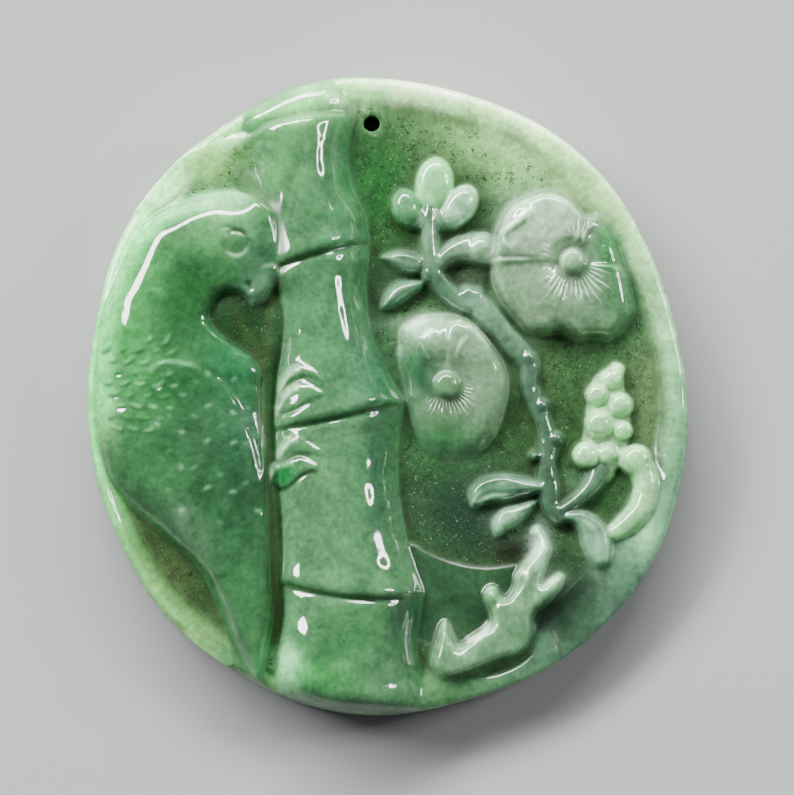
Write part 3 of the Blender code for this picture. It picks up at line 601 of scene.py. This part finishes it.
tinge((-13.8, -25.6), (4.2, 2.6), "#74a878", 0.9)

# The bamboo
# A thick round stem that stands highest of all, from the rim at the top to the rim at the foot. At each
# joint a narrow groove is cut below a raised lip, and the stem draws in between the joints.
BAMBOO = 8.1
BAMBOO_COLOUR = "#70a276"
# Joints as left end, right end and bow, and waist points on the left and the right edge
BAMBOO_JOINTS = (
    ((-13.8, 24), (-3.2, 26.8), 0.6),
    ((-12.8, 11.2), (-1.8, 14.7), 0.1),
    ((-11.5, -3.4), (1.6, -0.6), -0.3),
    ((-10.9, -17.5), (3.4, -18.7), -1))
BAMBOO_WAISTS = (
    (((-13.5, 21.4), (-13, 18.4), (-12.8, 15)),
     ((-3.9, 23.3), (-3.5, 20), (-2.2, 17.2))),
    (((-10.8, 8.6), (-10.7, 4.6), (-11.2, 0.8)),
     ((-2.1, 9.6), (-1.6, 5.8), (-0.2, 2.4))),
    (((-11.4, -6.9), (-10.8, -10.6), (-10.7, -14)),
     ((1, -3.9), (0.9, -8.6), (1.7, -13.4))),
    (((-10.3, -20.4), (-10.7, -23.2)),
     ((2.8, -21.4), (2.7, -24.2))))
BAMBOO_HEAD = ((-16.5, 26.5), (-3.2, 31.5))
BAMBOO_FOOT = ((-11.3, -28.5), (4.1, -30.5))
HEAD_CREST = 7.1
# Roundness of the stem's left and right half
LEFT_FULLNESS = 2.1
RIGHT_FULLNESS = 2.4
# How far in from the plaque's edge the stem's ends round off, and at what height they start
END_REACH = 2.6
END_FOOT = 4.8
JOINT_GROOVE = 0.6
JOINT_LIP = 0.55
LIP_REACH = 2.0
# Stone left standing between the stem and the parrot, as routes of low ridges, and its colours
GAP_FLOORS = (
    ((-14, 20.6, 1.6, 5.8), (-12.2, 19.4, 1.4, 6.4), (-11.4, 18.2, 1.1, 6.9), (-10.5, 16.8, 1, 7.1),
     (-10.1, 13.5, 1, 7.2), (-10.3, 10.6, 1, 6.6), (-11, 8.8, 1.2, 5.6)),
    ((-14.6, 7.8, 3.8, 6.9), (-12.4, 3.6, 2.2, 6.6), (-12, 0, 1.4, 6.8), (-11.7, -4.5, 1.1, 7),
     (-11.3, -9, 1.1, 6.8), (-10.9, -14, 1.1, 6.6), (-10.7, -18, 1.1, 6.4),
     (-10.6, -22, 1, 5.8), (-10.8, -25.5, 1, 5.6)),
    ((-11, 9.6, 1.4, 6.3), (-11.2, 7.4, 2, 6.5), (-11.4, 5.2, 1.8, 6.6), (-11.7, 2.6, 1.4, 6.7)))
GAP_COLOURS = ("#6c9c68", "#3f7440", "#3f7440")

for route, colour in zip(GAP_FLOORS, GAP_COLOURS):
    ridge(route, colour, fullness=3, finish=1)
    groove([(x, y) for x, y, _, _ in route], 0.45, 0, taper=False, dirty=0.4)
ends = BAMBOO_JOINTS + ((*BAMBOO_FOOT, 0),)
edges = []
for side in (0, 1):
    pieces = [np.array([BAMBOO_HEAD[side]])]
    for upper, waist, lower in zip(BAMBOO_JOINTS, BAMBOO_WAISTS, ends[1:]):
        pieces.append(smooth((upper[side], *waist[side], lower[side])))
    edges.append(np.vstack(pieces))
left_edge, right_edge = (np.interp(-Y, -edge[:, 1], edge[:, 0]) for edge in edges)
across = np.clip((X - left_edge) / (right_edge - left_edge), 0, 1)
joint_lines = [left[1] + (right[1] - left[1]) * across + 4 * bow * across * (1 - across)
               for left, right, bow in ends]
off_middle = np.abs(2 * across - 1)
sharp = np.interp(Y, (17, 22), (1 / LEFT_FULLNESS, 0.9))
left_half = (1 - off_middle ** LEFT_FULLNESS) ** sharp
right_half = (1 - off_middle ** RIGHT_FULLNESS) ** 0.9
arch = np.where(across < 0.5, left_half, right_half)
crest = np.full(X.shape, HEAD_CREST)
for upper, lower in zip(joint_lines, joint_lines[1:]):
    length = BAMBOO + JOINT_LIP * np.exp(-((Y - lower) / LIP_REACH) ** 2)
    crest = np.where(Y < upper, length, crest)
for joint in joint_lines[:-1]:
    wide, narrow = (np.exp(-((Y - joint) / width) ** 2) for width in (0.5, 0.14))
    crest -= JOINT_GROOVE * (0.5 * wide + 0.4 * narrow)
crest = END_FOOT + (crest - END_FOOT) * swell(inset / END_REACH)
stem = GROUND + (crest - GROUND) * arch
lay(np.s_[:, :], stem, BAMBOO_COLOUR)
for joint in joint_lines[:-1]:
    soil += 0.4 * np.exp(-((Y - joint) / 0.15) ** 2) * (height <= stem) * (off_middle < 1)
tinge((-9.5, 27), (6, 1.8), "#a2dca0", 0.85, lean=12)
tinge((-11, 21.5), (2.2, 4.5), "#7cb67e")
tinge((-4.2, -23), (4, 2.6), "#5f9a68", 0.6)
tinge((-4.6, 19), (1.6, 6), "#5fa673")
tinge((-6, 7), (3.6, 5), "#68a478", 0.6)
tinge((-1.6, 2), (2, 4), "#5c9a76")
tinge((-1.2, -8), (1.5, 5.5), "#509068")
tinge((-5, -12), (3, 4), "#7ca882", 0.6)
tinge((1.6, -21.5), (1.8, 3), "#3d7a50")
tinge((-8, -26), (3.4, 1.6), "#4caa5c", 0.8, lean=-15)
tinge((-9.8, -25), (1.8, 1.6), "#b4ecbc", 0.85)
tinge((-2.6, 29.4), (2, 1.8), "#dcf5cc", 0.9)
tinge((-6.5, 28.6), (4, 1.6), "#b8e8b2", 0.8, lean=10)
tinge((4.6, -28.4), (2.2, 1.6), "#6c9c70", 0.9)

# Polish and old wax round off the feet of the forms
FILLET = 0.22
FILLET_SHARE = 0.6


def soften(field, radius):
    """Field averaged with its surroundings, weighted by e^-(distance / radius)^2 / 2, the radius in mm."""
    reach = math.ceil(2.5 * radius / NET)
    offsets = np.arange(-reach, reach + 1)
    bell = np.exp(-0.5 * (offsets * NET / radius) ** 2)
    bell /= bell.sum()
    for side in (0, 1):
        field = sum(weight * np.roll(field, offset, side) for weight, offset in zip(bell, offsets))
    return field


height += FILLET_SHARE * np.clip(soften(height, FILLET) - height, 0, None)

# The toes
# Four toes grip the stem as low pads that overlap like shingles. Each has a pale brow, a dirty cut under it
# and short slanting cuts across it. An outline's first points are the brow, from the left to the tip.
TOES = (
    ((-10.6, 0.5), (-10.2, 1.2), (-9.8, 2), (-9.2, 2.5), (-8.5, 2.8), (-7.7, 2.6), (-6.9, 2.2),
     (-6, 1.1), (-7.5, 1.4), (-8.3, 1.4), (-9, 1.1), (-9.7, 0.7), (-10.2, 0.1)),
    ((-10.8, -1.4), (-10.5, -0.7), (-10, 0.1), (-9.4, 0.7), (-8.7, 1), (-8, 1), (-7.2, 0.8),
     (-6, -0.2), (-7.3, -0.8), (-8, -1.1), (-8.7, -1.5), (-9.6, -1.8), (-10.3, -1.8)),
    ((-10.8, -5.9), (-10.4, -5.2), (-10, -4.6), (-9.5, -4.1), (-8.8, -3.9), (-8.1, -4.2), (-7.3, -4.6),
     (-6, -5.7), (-7.5, -5.9), (-8.3, -5.8), (-8.8, -5.9), (-9.6, -6.3), (-10.3, -6.5)),
    ((-11.3, -7.8), (-11.2, -7.1), (-10.7, -6.5), (-10, -6.3), (-9.2, -6), (-8.6, -5.8), (-7.9, -6),
     (-7.1, -6.4), (-6.5, -6.8), (-6.8, -7.4), (-7.5, -7.5), (-8.1, -7.7), (-8.6, -8.1), (-9.2, -8.7),
     (-10, -9), (-10.7, -8.8)))
TOE_RISE = 0.3
BROW_POINTS = 36
for toe in TOES:
    place, depth = shape(toe)
    height[place] += TOE_RISE * bank(depth / 0.4)
for toe in TOES:
    brow = smooth(toe)[:BROW_POINTS]
    groove(brow[::4], 0.16, -0.06, "#a9c9aa")
    groove(toe[8:] + toe[:1], 0.16, 0.14, dirty=0.5)
    for x, y in brow[2:26:3]:
        groove(((x + 0.12, y - 0.1), (x + 0.2, y - 0.8)), 0.14, -0.14, "#c9e2c6")
tinge((-9.8, -7.6), (1.2, 1), "#1f9a55", 0.95)

# Cuts on the parrot: eye, mouth, wing and chest
# A round drilled ring for the eye under a brow line, a thin mouth line, and the step where the wing lies
# over the belly. They are cut last, into the rounded form.
EYE = (-14.4, 14.2)
EYE_RADIUS = 1.1
MOUTH = ((-12, 11.9), (-11.2, 12.1), (-10.2, 12.2))
WING_EDGE = ((-20.1, 2.5), (-18.2, 2.5), (-16, 1), (-14.4, -1.2), (-13, -5), (-11.9, -9))
CHEST_EDGE = ((-17.6, 6.6), (-16.4, 5.4), (-14.6, 4.4), (-12.8, 3.2))
WING_STEP = 0.35
groove(circle(EYE, EYE_RADIUS), 0.15, 0.16, taper=False, dirty=0.4)
tinge(EYE, (1.3, 1.3), "#5c9061", 0.5)
groove(((-16.1, 15.4), (-15.3, 15.7), (-14.7, 15.4), (-14, 15.2), (-13.4, 14.7)), 0.18, 0.22, dirty=0.6)
groove(((-15.4, 15), (-15.3, 14.6)), 0.14, -0.1, "#cfe8cf")
groove(((-15.4, 13.3), (-14.7, 12.9), (-13.9, 13), (-13.3, 13.7)), 0.16, -0.12, "#b4d6b5")
groove(MOUTH, 0.14, 0.14, "#b4d2b8")
groove(((-13.3, 10.6), (-13, 9.6)), 0.32, 0.35, dirty=0.4)
groove(((-10.9, 10.4), (-11.7, 9.2), (-13.2, 8.5)), 0.35, -0.12, "#8fb496")
groove(((-13.4, 9), (-12.7, 8.9), (-11.8, 9.6)), 0.16, 0.12)
wing_line = smooth(WING_EDGE)
place = around(WING_EDGE, 0)
x, y = X[place], Y[place]
past_wing = ease((x - np.interp(-y, -wing_line[:, 1], wing_line[:, 0])) / 0.6)
height[place] -= WING_STEP * past_wing * ease((2.5 - y) / 2) * ease((y + 9) / 3) * (x < -11.4)
groove([(x - 0.4, y - 0.2) for x, y in WING_EDGE], 0.35, -0.12)
groove(((-22.6, 1.9), (-21.2, 2.8), (-19.6, 2.8), (-17.6, 2.3)), 0.2, -0.12, "#8fc79a")
groove(CHEST_EDGE, 0.35, -0.3)

# Feathers: short slanting strokes on the shoulder, each a cut painted dark green as painted shade, with a
# pale upper edge that is partly painted light, which turn from rising to falling down the shoulder, and
# then pits that thin out over the wing
STROKES = 36
PITS = 32
# Steps by this share of the width, round and round, spread marks evenly without rows
SPREAD = 0.618
chance = np.random.default_rng(5)
for number in range(STROKES):
    share = number / STROKES
    x = -26.6 + 6.6 * (number * SPREAD % 1)
    y = 4.8 - 9.0 * share + 0.25 * (x + 24)
    turn = math.radians(40 - 50 * share + chance.normal(0, 16))
    run = np.array((math.cos(turn), math.sin(turn))) * chance.uniform(0.3, 0.65)
    bow = (x + 0.1, y - 0.15)
    groove(((x, y) - run, bow, (x, y) + run), 0.18, chance.uniform(0.06, 0.12), "#3c8048")
    groove(((x - 0.05, y + 0.2) - run, (x + 0.05, y + 0.08), (x - 0.05, y + 0.2) + run), 0.13, -0.06,
           colour=("#7cc182", "#a6dcaa")[number % 2])
for number in range(PITS):
    share = number / PITS
    x = -23.0 + 9.5 * (number * SPREAD % 1) + 2.0 * share
    y = 3.0 - 15 * share + chance.normal(0, 0.6)
    turn = chance.uniform(-1.2, 0.8)
    groove(((x, y), (x + 0.3 * math.cos(turn), y + 0.3 * math.sin(turn))), 0.14, 0.08, taper=False,
           colour=("#7db085", "#a8cdae")[number % 2])

# Hand polish leaves the surface faintly wavy, and rounds every edge a little


def wander(size, seed):
    """Even random waviness with bumps of the given size, 0 on average and 1 as its usual depth."""
    field = soften(np.random.default_rng(seed).standard_normal(X.shape), size)
    return field / field.std()


height += (0.08 * wander(1.9, 1) + 0.03 * wander(0.8, 2)) * (1 - matt)
height = soften(height, 0.09)
tint = soften(tint, 0.08)

# What the ground and the dirt cover: the ground is the flat matt part; the darkening in hollows, cuts and
# corners at the feet of the forms is partly old dirt and partly painted shade, and both are dull
slope = np.hypot(*np.gradient(height, NET))
grounded = soften(matt * np.clip(1.2 - 2 * slope, 0, 1), 0.12)
hollow = soften(height, 0.7) - height
foot = np.clip((GROUND + 0.6 - height) / 0.3, 0, 1)
corner = np.clip((soften(height, 0.25) - height) / 0.15 - 0.3, 0, 1)
dull = np.clip(np.maximum(2 * foot * soften(matt, 0.25), soften(matt, 0.1)) + 1.5 * soil + corner, 0, 1)
foot_line = corner * np.clip(3 * soften(matt, 0.3), 0, 1)
dirt_and_shade = np.clip(0.3 * np.clip(hollow / 0.9, 0, 1) * grounded + soil + 0.25 * foot_line, 0, 0.75)

# The side wall takes the colours of the rim above it, softened so that none ends in a hard line down it
WALL_BLEND = 1.5
on_wall = ease((0.5 - inset) / 0.4)[..., None]
tint += on_wall * (soften(tint, WALL_BLEND) - tint)

# Light goes into the stone and comes out again, which makes it look lighter and paler than its own colour.
# So the colours named above are deepened, green to the power DEEPER, and red and blue made purer by PURER.
DEEPER = 2.0
PURER = np.array((0.85, 0, 0.7))
green = tint[..., 1:2]
tint = green ** DEEPER * (tint / green) ** (1 + PURER * green ** 0.6)

# Steep walls right of the bamboo stem, near their tops, are painted lighter: painted light for the light
# that passes through the thin stone
PAINTED_GLOW = 0.5
raised = np.clip(0.5 + (height - soften(height, 1.2)) / 0.8, 0, 1)
painted_glow = np.clip(slope / 1.5, 0, 1) * raised * (1 - grounded) * (X > right_edge + 0.3)
tint *= 1 + PAINTED_GLOW * painted_glow[..., None]

# The skin: a square net bent to the outline, its lines drawn together on steep walls and fine cuts. Each
# point moves towards the mean of its four neighbours, round after round, weighted by how close the lines
# should lie there. It is done on four nets from coarse to fine, of so many lines each.
LINES = (38, 75, 149, 297)
CROWDING = 3.5
ROUNDS = 130
STEP = 0.8
MIDDLE_RADIUS = 30


def read(field, x, y):
    """Value of a field of the net at the given places, from the four net points about each."""
    column = np.clip((x - axis[0]) / NET, 0, len(axis) - 1.001)
    row = np.clip((y - axis[0]) / NET, 0, len(axis) - 1.001)
    i, j = row.astype(int), column.astype(int)
    up, right = row - i, column - j
    return ((1 - up) * ((1 - right) * field[i, j] + right * field[i, j + 1])
            + up * ((1 - right) * field[i + 1, j] + right * field[i + 1, j + 1]))


def halve(field):
    """Field with a new row halfway between every two rows: their mean."""
    return np.insert(field, np.arange(1, len(field)), (field[1:] + field[:-1]) / 2, axis=0)


detail = np.clip(soften(np.abs(height - soften(height, 0.35)), 0.3) / 0.05, 0, 1)
closeness = 1 + CROWDING * (0.5 * np.clip(soften(slope, 0.2) / 1.5, 0, 1) + 0.7 * detail)
inner = np.s_[1:-1, 1:-1]
borders = (np.s_[0, :], np.s_[-1, :], np.s_[:, 0], np.s_[:, -1])
neighbours = ((0, 1), (0, -1), (1, 1), (1, -1))
px = py = None
for lines in LINES:
    # A square of -1 to 1 becomes a disc by u * sqrt(1 - v^2 / 2) and v * sqrt(1 - u^2 / 2)
    u, v = np.meshgrid(np.linspace(-1, 1, lines), np.linspace(-1, 1, lines))
    disc_x, disc_y = u * np.sqrt(1 - v * v / 2), v * np.sqrt(1 - u * u / 2)
    stretch = read(edge_radius, disc_x * MIDDLE_RADIUS, disc_y * MIDDLE_RADIUS)
    if px is None:
        px, py = disc_x * stretch, disc_y * stretch
    else:
        # Each finer net starts from the coarser one
        px, py = (halve(halve(field).T).T for field in (px, py))
        for border in borders:
            px[border], py[border] = (disc_x * stretch)[border], (disc_y * stretch)[border]
    for _ in range(ROUNDS):
        pull = read(closeness, px, py)
        total = sum_x = sum_y = 0
        for side, way in neighbours:
            weight = pull + np.roll(pull, way, side)
            total = total + weight
            sum_x = sum_x + weight * np.roll(px, way, side)
            sum_y = sum_y + weight * np.roll(py, way, side)
        px[inner] += STEP * (sum_x / total - px)[inner]
        py[inner] += STEP * (sum_y / total - py)[inner]

# Cord hole, drilled straight through: the squares over it go, and the points about it move on to its circle
HOLE = (-1.7, 26)
HOLE_RADIUS = 0.8
reach = np.hypot(px - HOLE[0], py - HOLE[1])
in_hole = reach < HOLE_RADIUS
gone = in_hole[:-1, :-1] | in_hole[1:, :-1] | in_hole[:-1, 1:] | in_hole[1:, 1:]
mouth = np.zeros(px.shape, bool)
for rows in (np.s_[:-1], np.s_[1:]):
    for columns in (np.s_[:-1], np.s_[1:]):
        mouth[rows, columns] |= gone
mouth &= ~in_hole
px[mouth] = HOLE[0] + (px[mouth] - HOLE[0]) * HOLE_RADIUS / reach[mouth]
py[mouth] = HOLE[1] + (py[mouth] - HOLE[1]) * HOLE_RADIUS / reach[mouth]
pz = read(height, px, py)

number = np.arange(px.size).reshape(px.shape)
squares = np.stack([number[:-1, :-1], number[:-1, 1:], number[1:, 1:], number[1:, :-1]], axis=-1)[~gone]
rim_loop = np.concatenate([number[0, :-1], number[:-1, -1], number[-1, :0:-1], number[:0:-1, 0]])
mouth_loop = number[mouth]
mouth_loop = mouth_loop[np.argsort(np.arctan2(py[mouth] - HOLE[1], px[mouth] - HOLE[0]))]
front_points = np.stack([px, py, pz], axis=-1).reshape(-1, 3)

# Side of the plaque and wall of the hole, ring by ring down to the back
BACK_EDGE = 1.2
points = [front_points]
faces = [squares]


def add_ring(ring, above, inward=False):
    """Adds a ring of points and the squares up to the ring above, and gives the numbers of its points."""
    below = sum(map(len, points)) + np.arange(len(ring))
    corners = [below, np.roll(below, -1), np.roll(above, -1), above]
    points.append(ring)
    faces.append(np.stack(corners[::-1] if inward else corners, axis=-1))
    return below


edge_points = front_points[rim_loop]
outward = edge_points[:, :2] / np.linalg.norm(edge_points[:, :2], axis=1)[:, None]
last = rim_loop
for share in (0.66, 0.33):
    level = BACK_EDGE + (edge_points[:, 2] - BACK_EDGE) * share
    last = add_ring(np.column_stack([edge_points[:, :2], level]), last)
# A quarter circle rounds the edge of the back
for turn in np.linspace(0, math.pi / 2, 5):
    flat = edge_points[:, :2] - outward * (BACK_EDGE * (1 - math.cos(turn)))
    last = add_ring(np.column_stack([flat, np.full(len(flat), BACK_EDGE * (1 - math.sin(turn)))]), last)
last = mouth_loop
for level in (3.0, 1.5, 0.0):
    ring = np.column_stack([front_points[mouth_loop, :2], np.full(len(mouth_loop), level)])
    last = add_ring(ring, last, inward=True)
points = np.vstack(points)
# Metres in a millimetre
MM = 0.001
mesh = bpy.data.meshes.new("carved_plaque")
mesh.from_pydata((points * MM).tolist(), [], np.vstack(faces).tolist())
mesh.polygons.foreach_set("use_smooth", np.ones(len(mesh.polygons), bool))

# What the material reads from the skin, point by point
fields = {"ground": grounded, "dull": dull, "dirt_and_shade": dirt_and_shade, "ray_turn": ray_turn, "ray_share": ray_share}
for name, field in fields.items():
    layer = mesh.attributes.new(name, "FLOAT", "POINT")
    layer.data.foreach_set("value", read(field, points[:, 0], points[:, 1]).astype(np.float32))
layer = mesh.attributes.new("tint", "FLOAT_COLOR", "POINT")
channels = [read(tint[..., k], points[:, 0], points[:, 1]) for k in range(3)]
colours = np.column_stack([*channels, np.ones(len(points))])
layer.data.foreach_set("color", colours.astype(np.float32).ravel())

# The flat back is filled in between the last ring of the side and that of the hole
bm = bmesh.new()
bm.from_mesh(mesh)
open_edges = [edge for edge in bm.edges if edge.is_boundary]
filled = bmesh.ops.triangle_fill(bm, edges=open_edges, use_beauty=True)
for face in filled["geom"]:
    if isinstance(face, bmesh.types.BMFace):
        face.smooth = False
        if face.normal.z > 0:
            face.normal_flip()
# Net points that lay over the hole belong to no face and go
loose = [vertex for vertex in bm.verts if not vertex.link_faces]
bmesh.ops.delete(bm, geom=loose, context="VERTS")
bm.to_mesh(mesh)
bm.free()


def add_object(name, data):
    """New object of the scene that shows this mesh, light or camera."""
    made = bpy.data.objects.new(name, data)
    bpy.context.collection.objects.link(made)
    return made


plaque = add_object("carved_plaque", mesh)

# Polished jadeite: light goes a millimetre or two into it, so walls glow and shadows stay soft
material = bpy.data.materials.new("polished_jadeite")
material.use_nodes = True
tree = material.node_tree
tree.nodes.clear()


def node(kind, inputs, **settings):
    """Node of the tree being built, with its settings; each input is a value or another node's output."""
    made = tree.nodes.new(kind)
    for name, value in settings.items():
        setattr(made, name, value)
    for name, value in inputs.items():
        if isinstance(value, bpy.types.NodeSocket):
            tree.links.new(value, made.inputs[name])
        else:
            made.inputs[name].default_value = value
    return made


def noise(scale, detail, roughness=0.5, distortion=0):
    """Noise around 0.5 with so many bumps a metre, and finer ones on them."""
    inputs = {"Vector": place, "Scale": scale, "Detail": detail, "Roughness": roughness,
              "Distortion": distortion}
    return node("ShaderNodeTexNoise", inputs).outputs["Fac"]


def remap(value, low, high, start=0, end=1):
    """Start where the value is low, end where it is high, a straight line between and level beyond."""
    inputs = {"Value": value, "From Min": low, "From Max": high, "To Min": start, "To Max": end}
    return node("ShaderNodeMapRange", inputs).outputs["Result"]


def reckon(operation, *values):
    """Result of one step of arithmetic, such as MULTIPLY or ADD, on values or outputs."""
    return node("ShaderNodeMath", dict(enumerate(values)), operation=operation).outputs["Value"]


def mixed(share, first, second):
    """The first colour where the share is 0, the second where it is 1; the second may be a hex colour."""
    if isinstance(second, str):
        second = (*linear(second), 1)
    return node("ShaderNodeMix", {0: share, 6: first, 7: second}, data_type="RGBA").outputs[2]


def times(colour, factor):
    """Colour multiplied channel by channel, or as a whole by one share."""
    return node("ShaderNodeVectorMath", {0: colour, 1: factor}, operation="MULTIPLY").outputs["Vector"]


place = node("ShaderNodeTexCoord", {}).outputs["Object"]
masks = {name: node("ShaderNodeAttribute", {}, attribute_name=name).outputs["Fac"] for name in fields}
stone = node("ShaderNodeAttribute", {}, attribute_name="tint").outputs["Color"]

# Cloudy stone: bigger soft clouds with a fine grain of packed crystals, and patches that are whiter
cloud = remap(noise(420, 6, 0.7, 0.5), 0.3, 0.7, 0.6, 1.4)
grain = remap(noise(1900, 3, 0.6), 0.3, 0.7, 0.8, 1.2)
stone = times(stone, reckon("MULTIPLY", cloud, grain))
stone = mixed(remap(noise(240, 4, 0.7), 0.5, 0.75, 0, 0.9), stone, times(stone, (1.7, 1.3, 1.55)))

# Fine lines on the petals: pale crests of a wave that runs around the middle of the blossom
ray_wave = reckon("SINE", reckon("MULTIPLY_ADD", noise(500, 1), 5.0, masks["ray_turn"]))
rays = reckon("MULTIPLY", remap(ray_wave, 0.3, 1.0, 0, 0.35), masks["ray_share"])
stone = mixed(rays, stone, "#d9ecd9")

# Scratches of the ground, as dark hairs: thin bands where a noise passes its middle value, left out in
# places by a second noise. They and the pale specks are finer on the real stone, and are drawn as coarse as
# they need to be to show.
hair_gap = reckon("ABSOLUTE", reckon("SUBTRACT", noise(1100, 2, distortion=1.2), 0.5))
hair_line = remap(hair_gap, 0.006, 0.026, 0.95, 0)
hair = reckon("MULTIPLY", hair_line, remap(noise(800, 1), 0.44, 0.52))
stone = mixed(reckon("MULTIPLY", hair, masks["ground"]), stone, "#0e1a0a")
speck = remap(noise(4200, 1), 0.67, 0.8, 0, 0.24)
stone = mixed(reckon("MULTIPLY", speck, masks["ground"]), stone, "#a9c99a")
# Dirt and painted shade: a dark olive laid in hollows, cuts and at the feet of the forms
stone = mixed(masks["dirt_and_shade"], stone, "#2c3f1c")

# The ground is gritty and the petals' lines stand up a little, both too fine for the mesh
grit = reckon("MULTIPLY", noise(2500, 3), masks["ground"])
fine_height = reckon("ADD", reckon("MULTIPLY", rays, 1.6), grit)
relief = node("ShaderNodeBump", {"Height": fine_height, "Distance": 0.00008, "Strength": 1.0})

# Polish is bright and sharp; the matt ground and the dirt are dull
shader = node("ShaderNodeBsdfPrincipled", {
    "Base Color": stone, "Roughness": remap(masks["dull"], 0, 1, 0.05, 0.5), "IOR": 1.66,
    "Specular IOR Level": remap(masks["dull"], 0, 1, 0.5, 0.06),
    "Subsurface Weight": 1.0, "Subsurface Radius": (0.6, 1.0, 0.65), "Subsurface Scale": 0.0018,
    "Normal": relief.outputs["Normal"]})
node("ShaderNodeOutputMaterial", {"Surface": shader.outputs["BSDF"]})
mesh.materials.append(material)

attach(plaque, "root")
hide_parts("jade_plaque")

# Floor
# Plain matt grey paper, 4 m wide
FLOOR_HALF = 2
floor_mesh = bpy.data.meshes.new("floor")
corners = [(x * FLOOR_HALF, y * FLOOR_HALF, 0) for x, y in ((-1, -1), (1, -1), (1, 1), (-1, 1))]
floor_mesh.from_pydata(corners, [], [(0, 1, 2, 3)])
floor = add_object("floor", floor_mesh)
paper = bpy.data.materials.new("grey_paper")
paper.use_nodes = True
paper_shader = paper.node_tree.nodes["Principled BSDF"]
paper_shader.inputs["Base Color"].default_value = (*linear("#858586"), 1)
paper_shader.inputs["Roughness"].default_value = 0.9
floor_mesh.materials.append(paper)

# Lights
# Soft light from the upper left as of a wide window, a ring of light on the right, and a dim even room
AIM = Vector((0, 0, 0.005))


def lamp(name, way, distance, size, power):
    """Flat soft lamp at aim + direction * distance that faces the pendant, so wide and high in metres."""
    light = bpy.data.lights.new(name, "AREA")
    light.shape = "RECTANGLE"
    light.size, light.size_y = size
    light.energy = power
    holder = add_object(name, light)
    holder.location = AIM + Vector(way).normalized() * distance
    holder.rotation_euler = (holder.location - AIM).to_track_quat("Z", "Y").to_euler()
    return holder


# Three panels side by side, as a wide window that curves from the left to the top
PANEL_TURNS = (80, 113, 146)
PANEL_POWERS = (21, 32, 34)
PANEL_RISE = math.radians(35)
PANEL_DISTANCE = 1.2
PANEL_SIZE = (0.66, 0.3)
for turn, power in zip(PANEL_TURNS, PANEL_POWERS):
    across, up = math.cos(math.radians(turn)), math.sin(math.radians(turn))
    way = (math.cos(PANEL_RISE) * across, math.cos(PANEL_RISE) * up, math.sin(PANEL_RISE))
    lamp(f"panel_{turn}", way, PANEL_DISTANCE, PANEL_SIZE, power)

# A ring of small lamps on the right, which shows in the polish as a bright loop
RING = Vector((0.85, 0.27, 0.52)).normalized()
RING_DISTANCE = 0.5
RING_RADII = (0.05, 0.075)
BULBS = 14
BULB_SIZE = (0.03, 0.03)
BULB_POWER = 0.15
level = Vector((0, 0, 1)).cross(RING).normalized()
upright = RING.cross(level)
for number in range(BULBS):
    turn = number / BULBS * 2 * math.pi
    bulb = lamp(f"ring_{number}", RING, RING_DISTANCE, BULB_SIZE, BULB_POWER)
    bulb.location += level * RING_RADII[0] * math.cos(turn) + upright * RING_RADII[1] * math.sin(turn)

# The room, brighter to the sides than overhead
world = bpy.data.worlds.new("soft_room")
world.use_nodes = True
tree = world.node_tree
where = node("ShaderNodeSeparateXYZ", {"Vector": node("ShaderNodeTexCoord", {}).outputs["Generated"]})
room = tree.nodes["Background"]
tree.links.new(remap(where.outputs["Z"], 0.3, 0.95, 0.38, 0.14), room.inputs["Strength"])
room.inputs["Color"].default_value = (0.8, 0.82, 0.85, 1)
bpy.context.scene.world = world

# Camera
# It looks down on the pendant lying, 5 degrees from straight above
VIEW_HEIGHT = 85
VIEW_DISTANCE = 0.4
# Width of what the picture shows at the level of the ground
PICTURE_WIDTH = 0.0743
SENSOR = 36
camera_data = bpy.data.cameras.new("camera")
camera_data.sensor_width = SENSOR
camera_data.lens = SENSOR * (VIEW_DISTANCE - GROUND * MM) / PICTURE_WIDTH
camera = add_object("camera", camera_data)
tilt = math.radians(90 - VIEW_HEIGHT)
target = Vector((0.0007, -0.00012, GROUND * MM))
camera.location = target + Vector((0, -math.sin(tilt), math.cos(tilt))) * VIEW_DISTANCE
camera.rotation_euler = (tilt, 0, 0)
bpy.context.scene.camera = camera
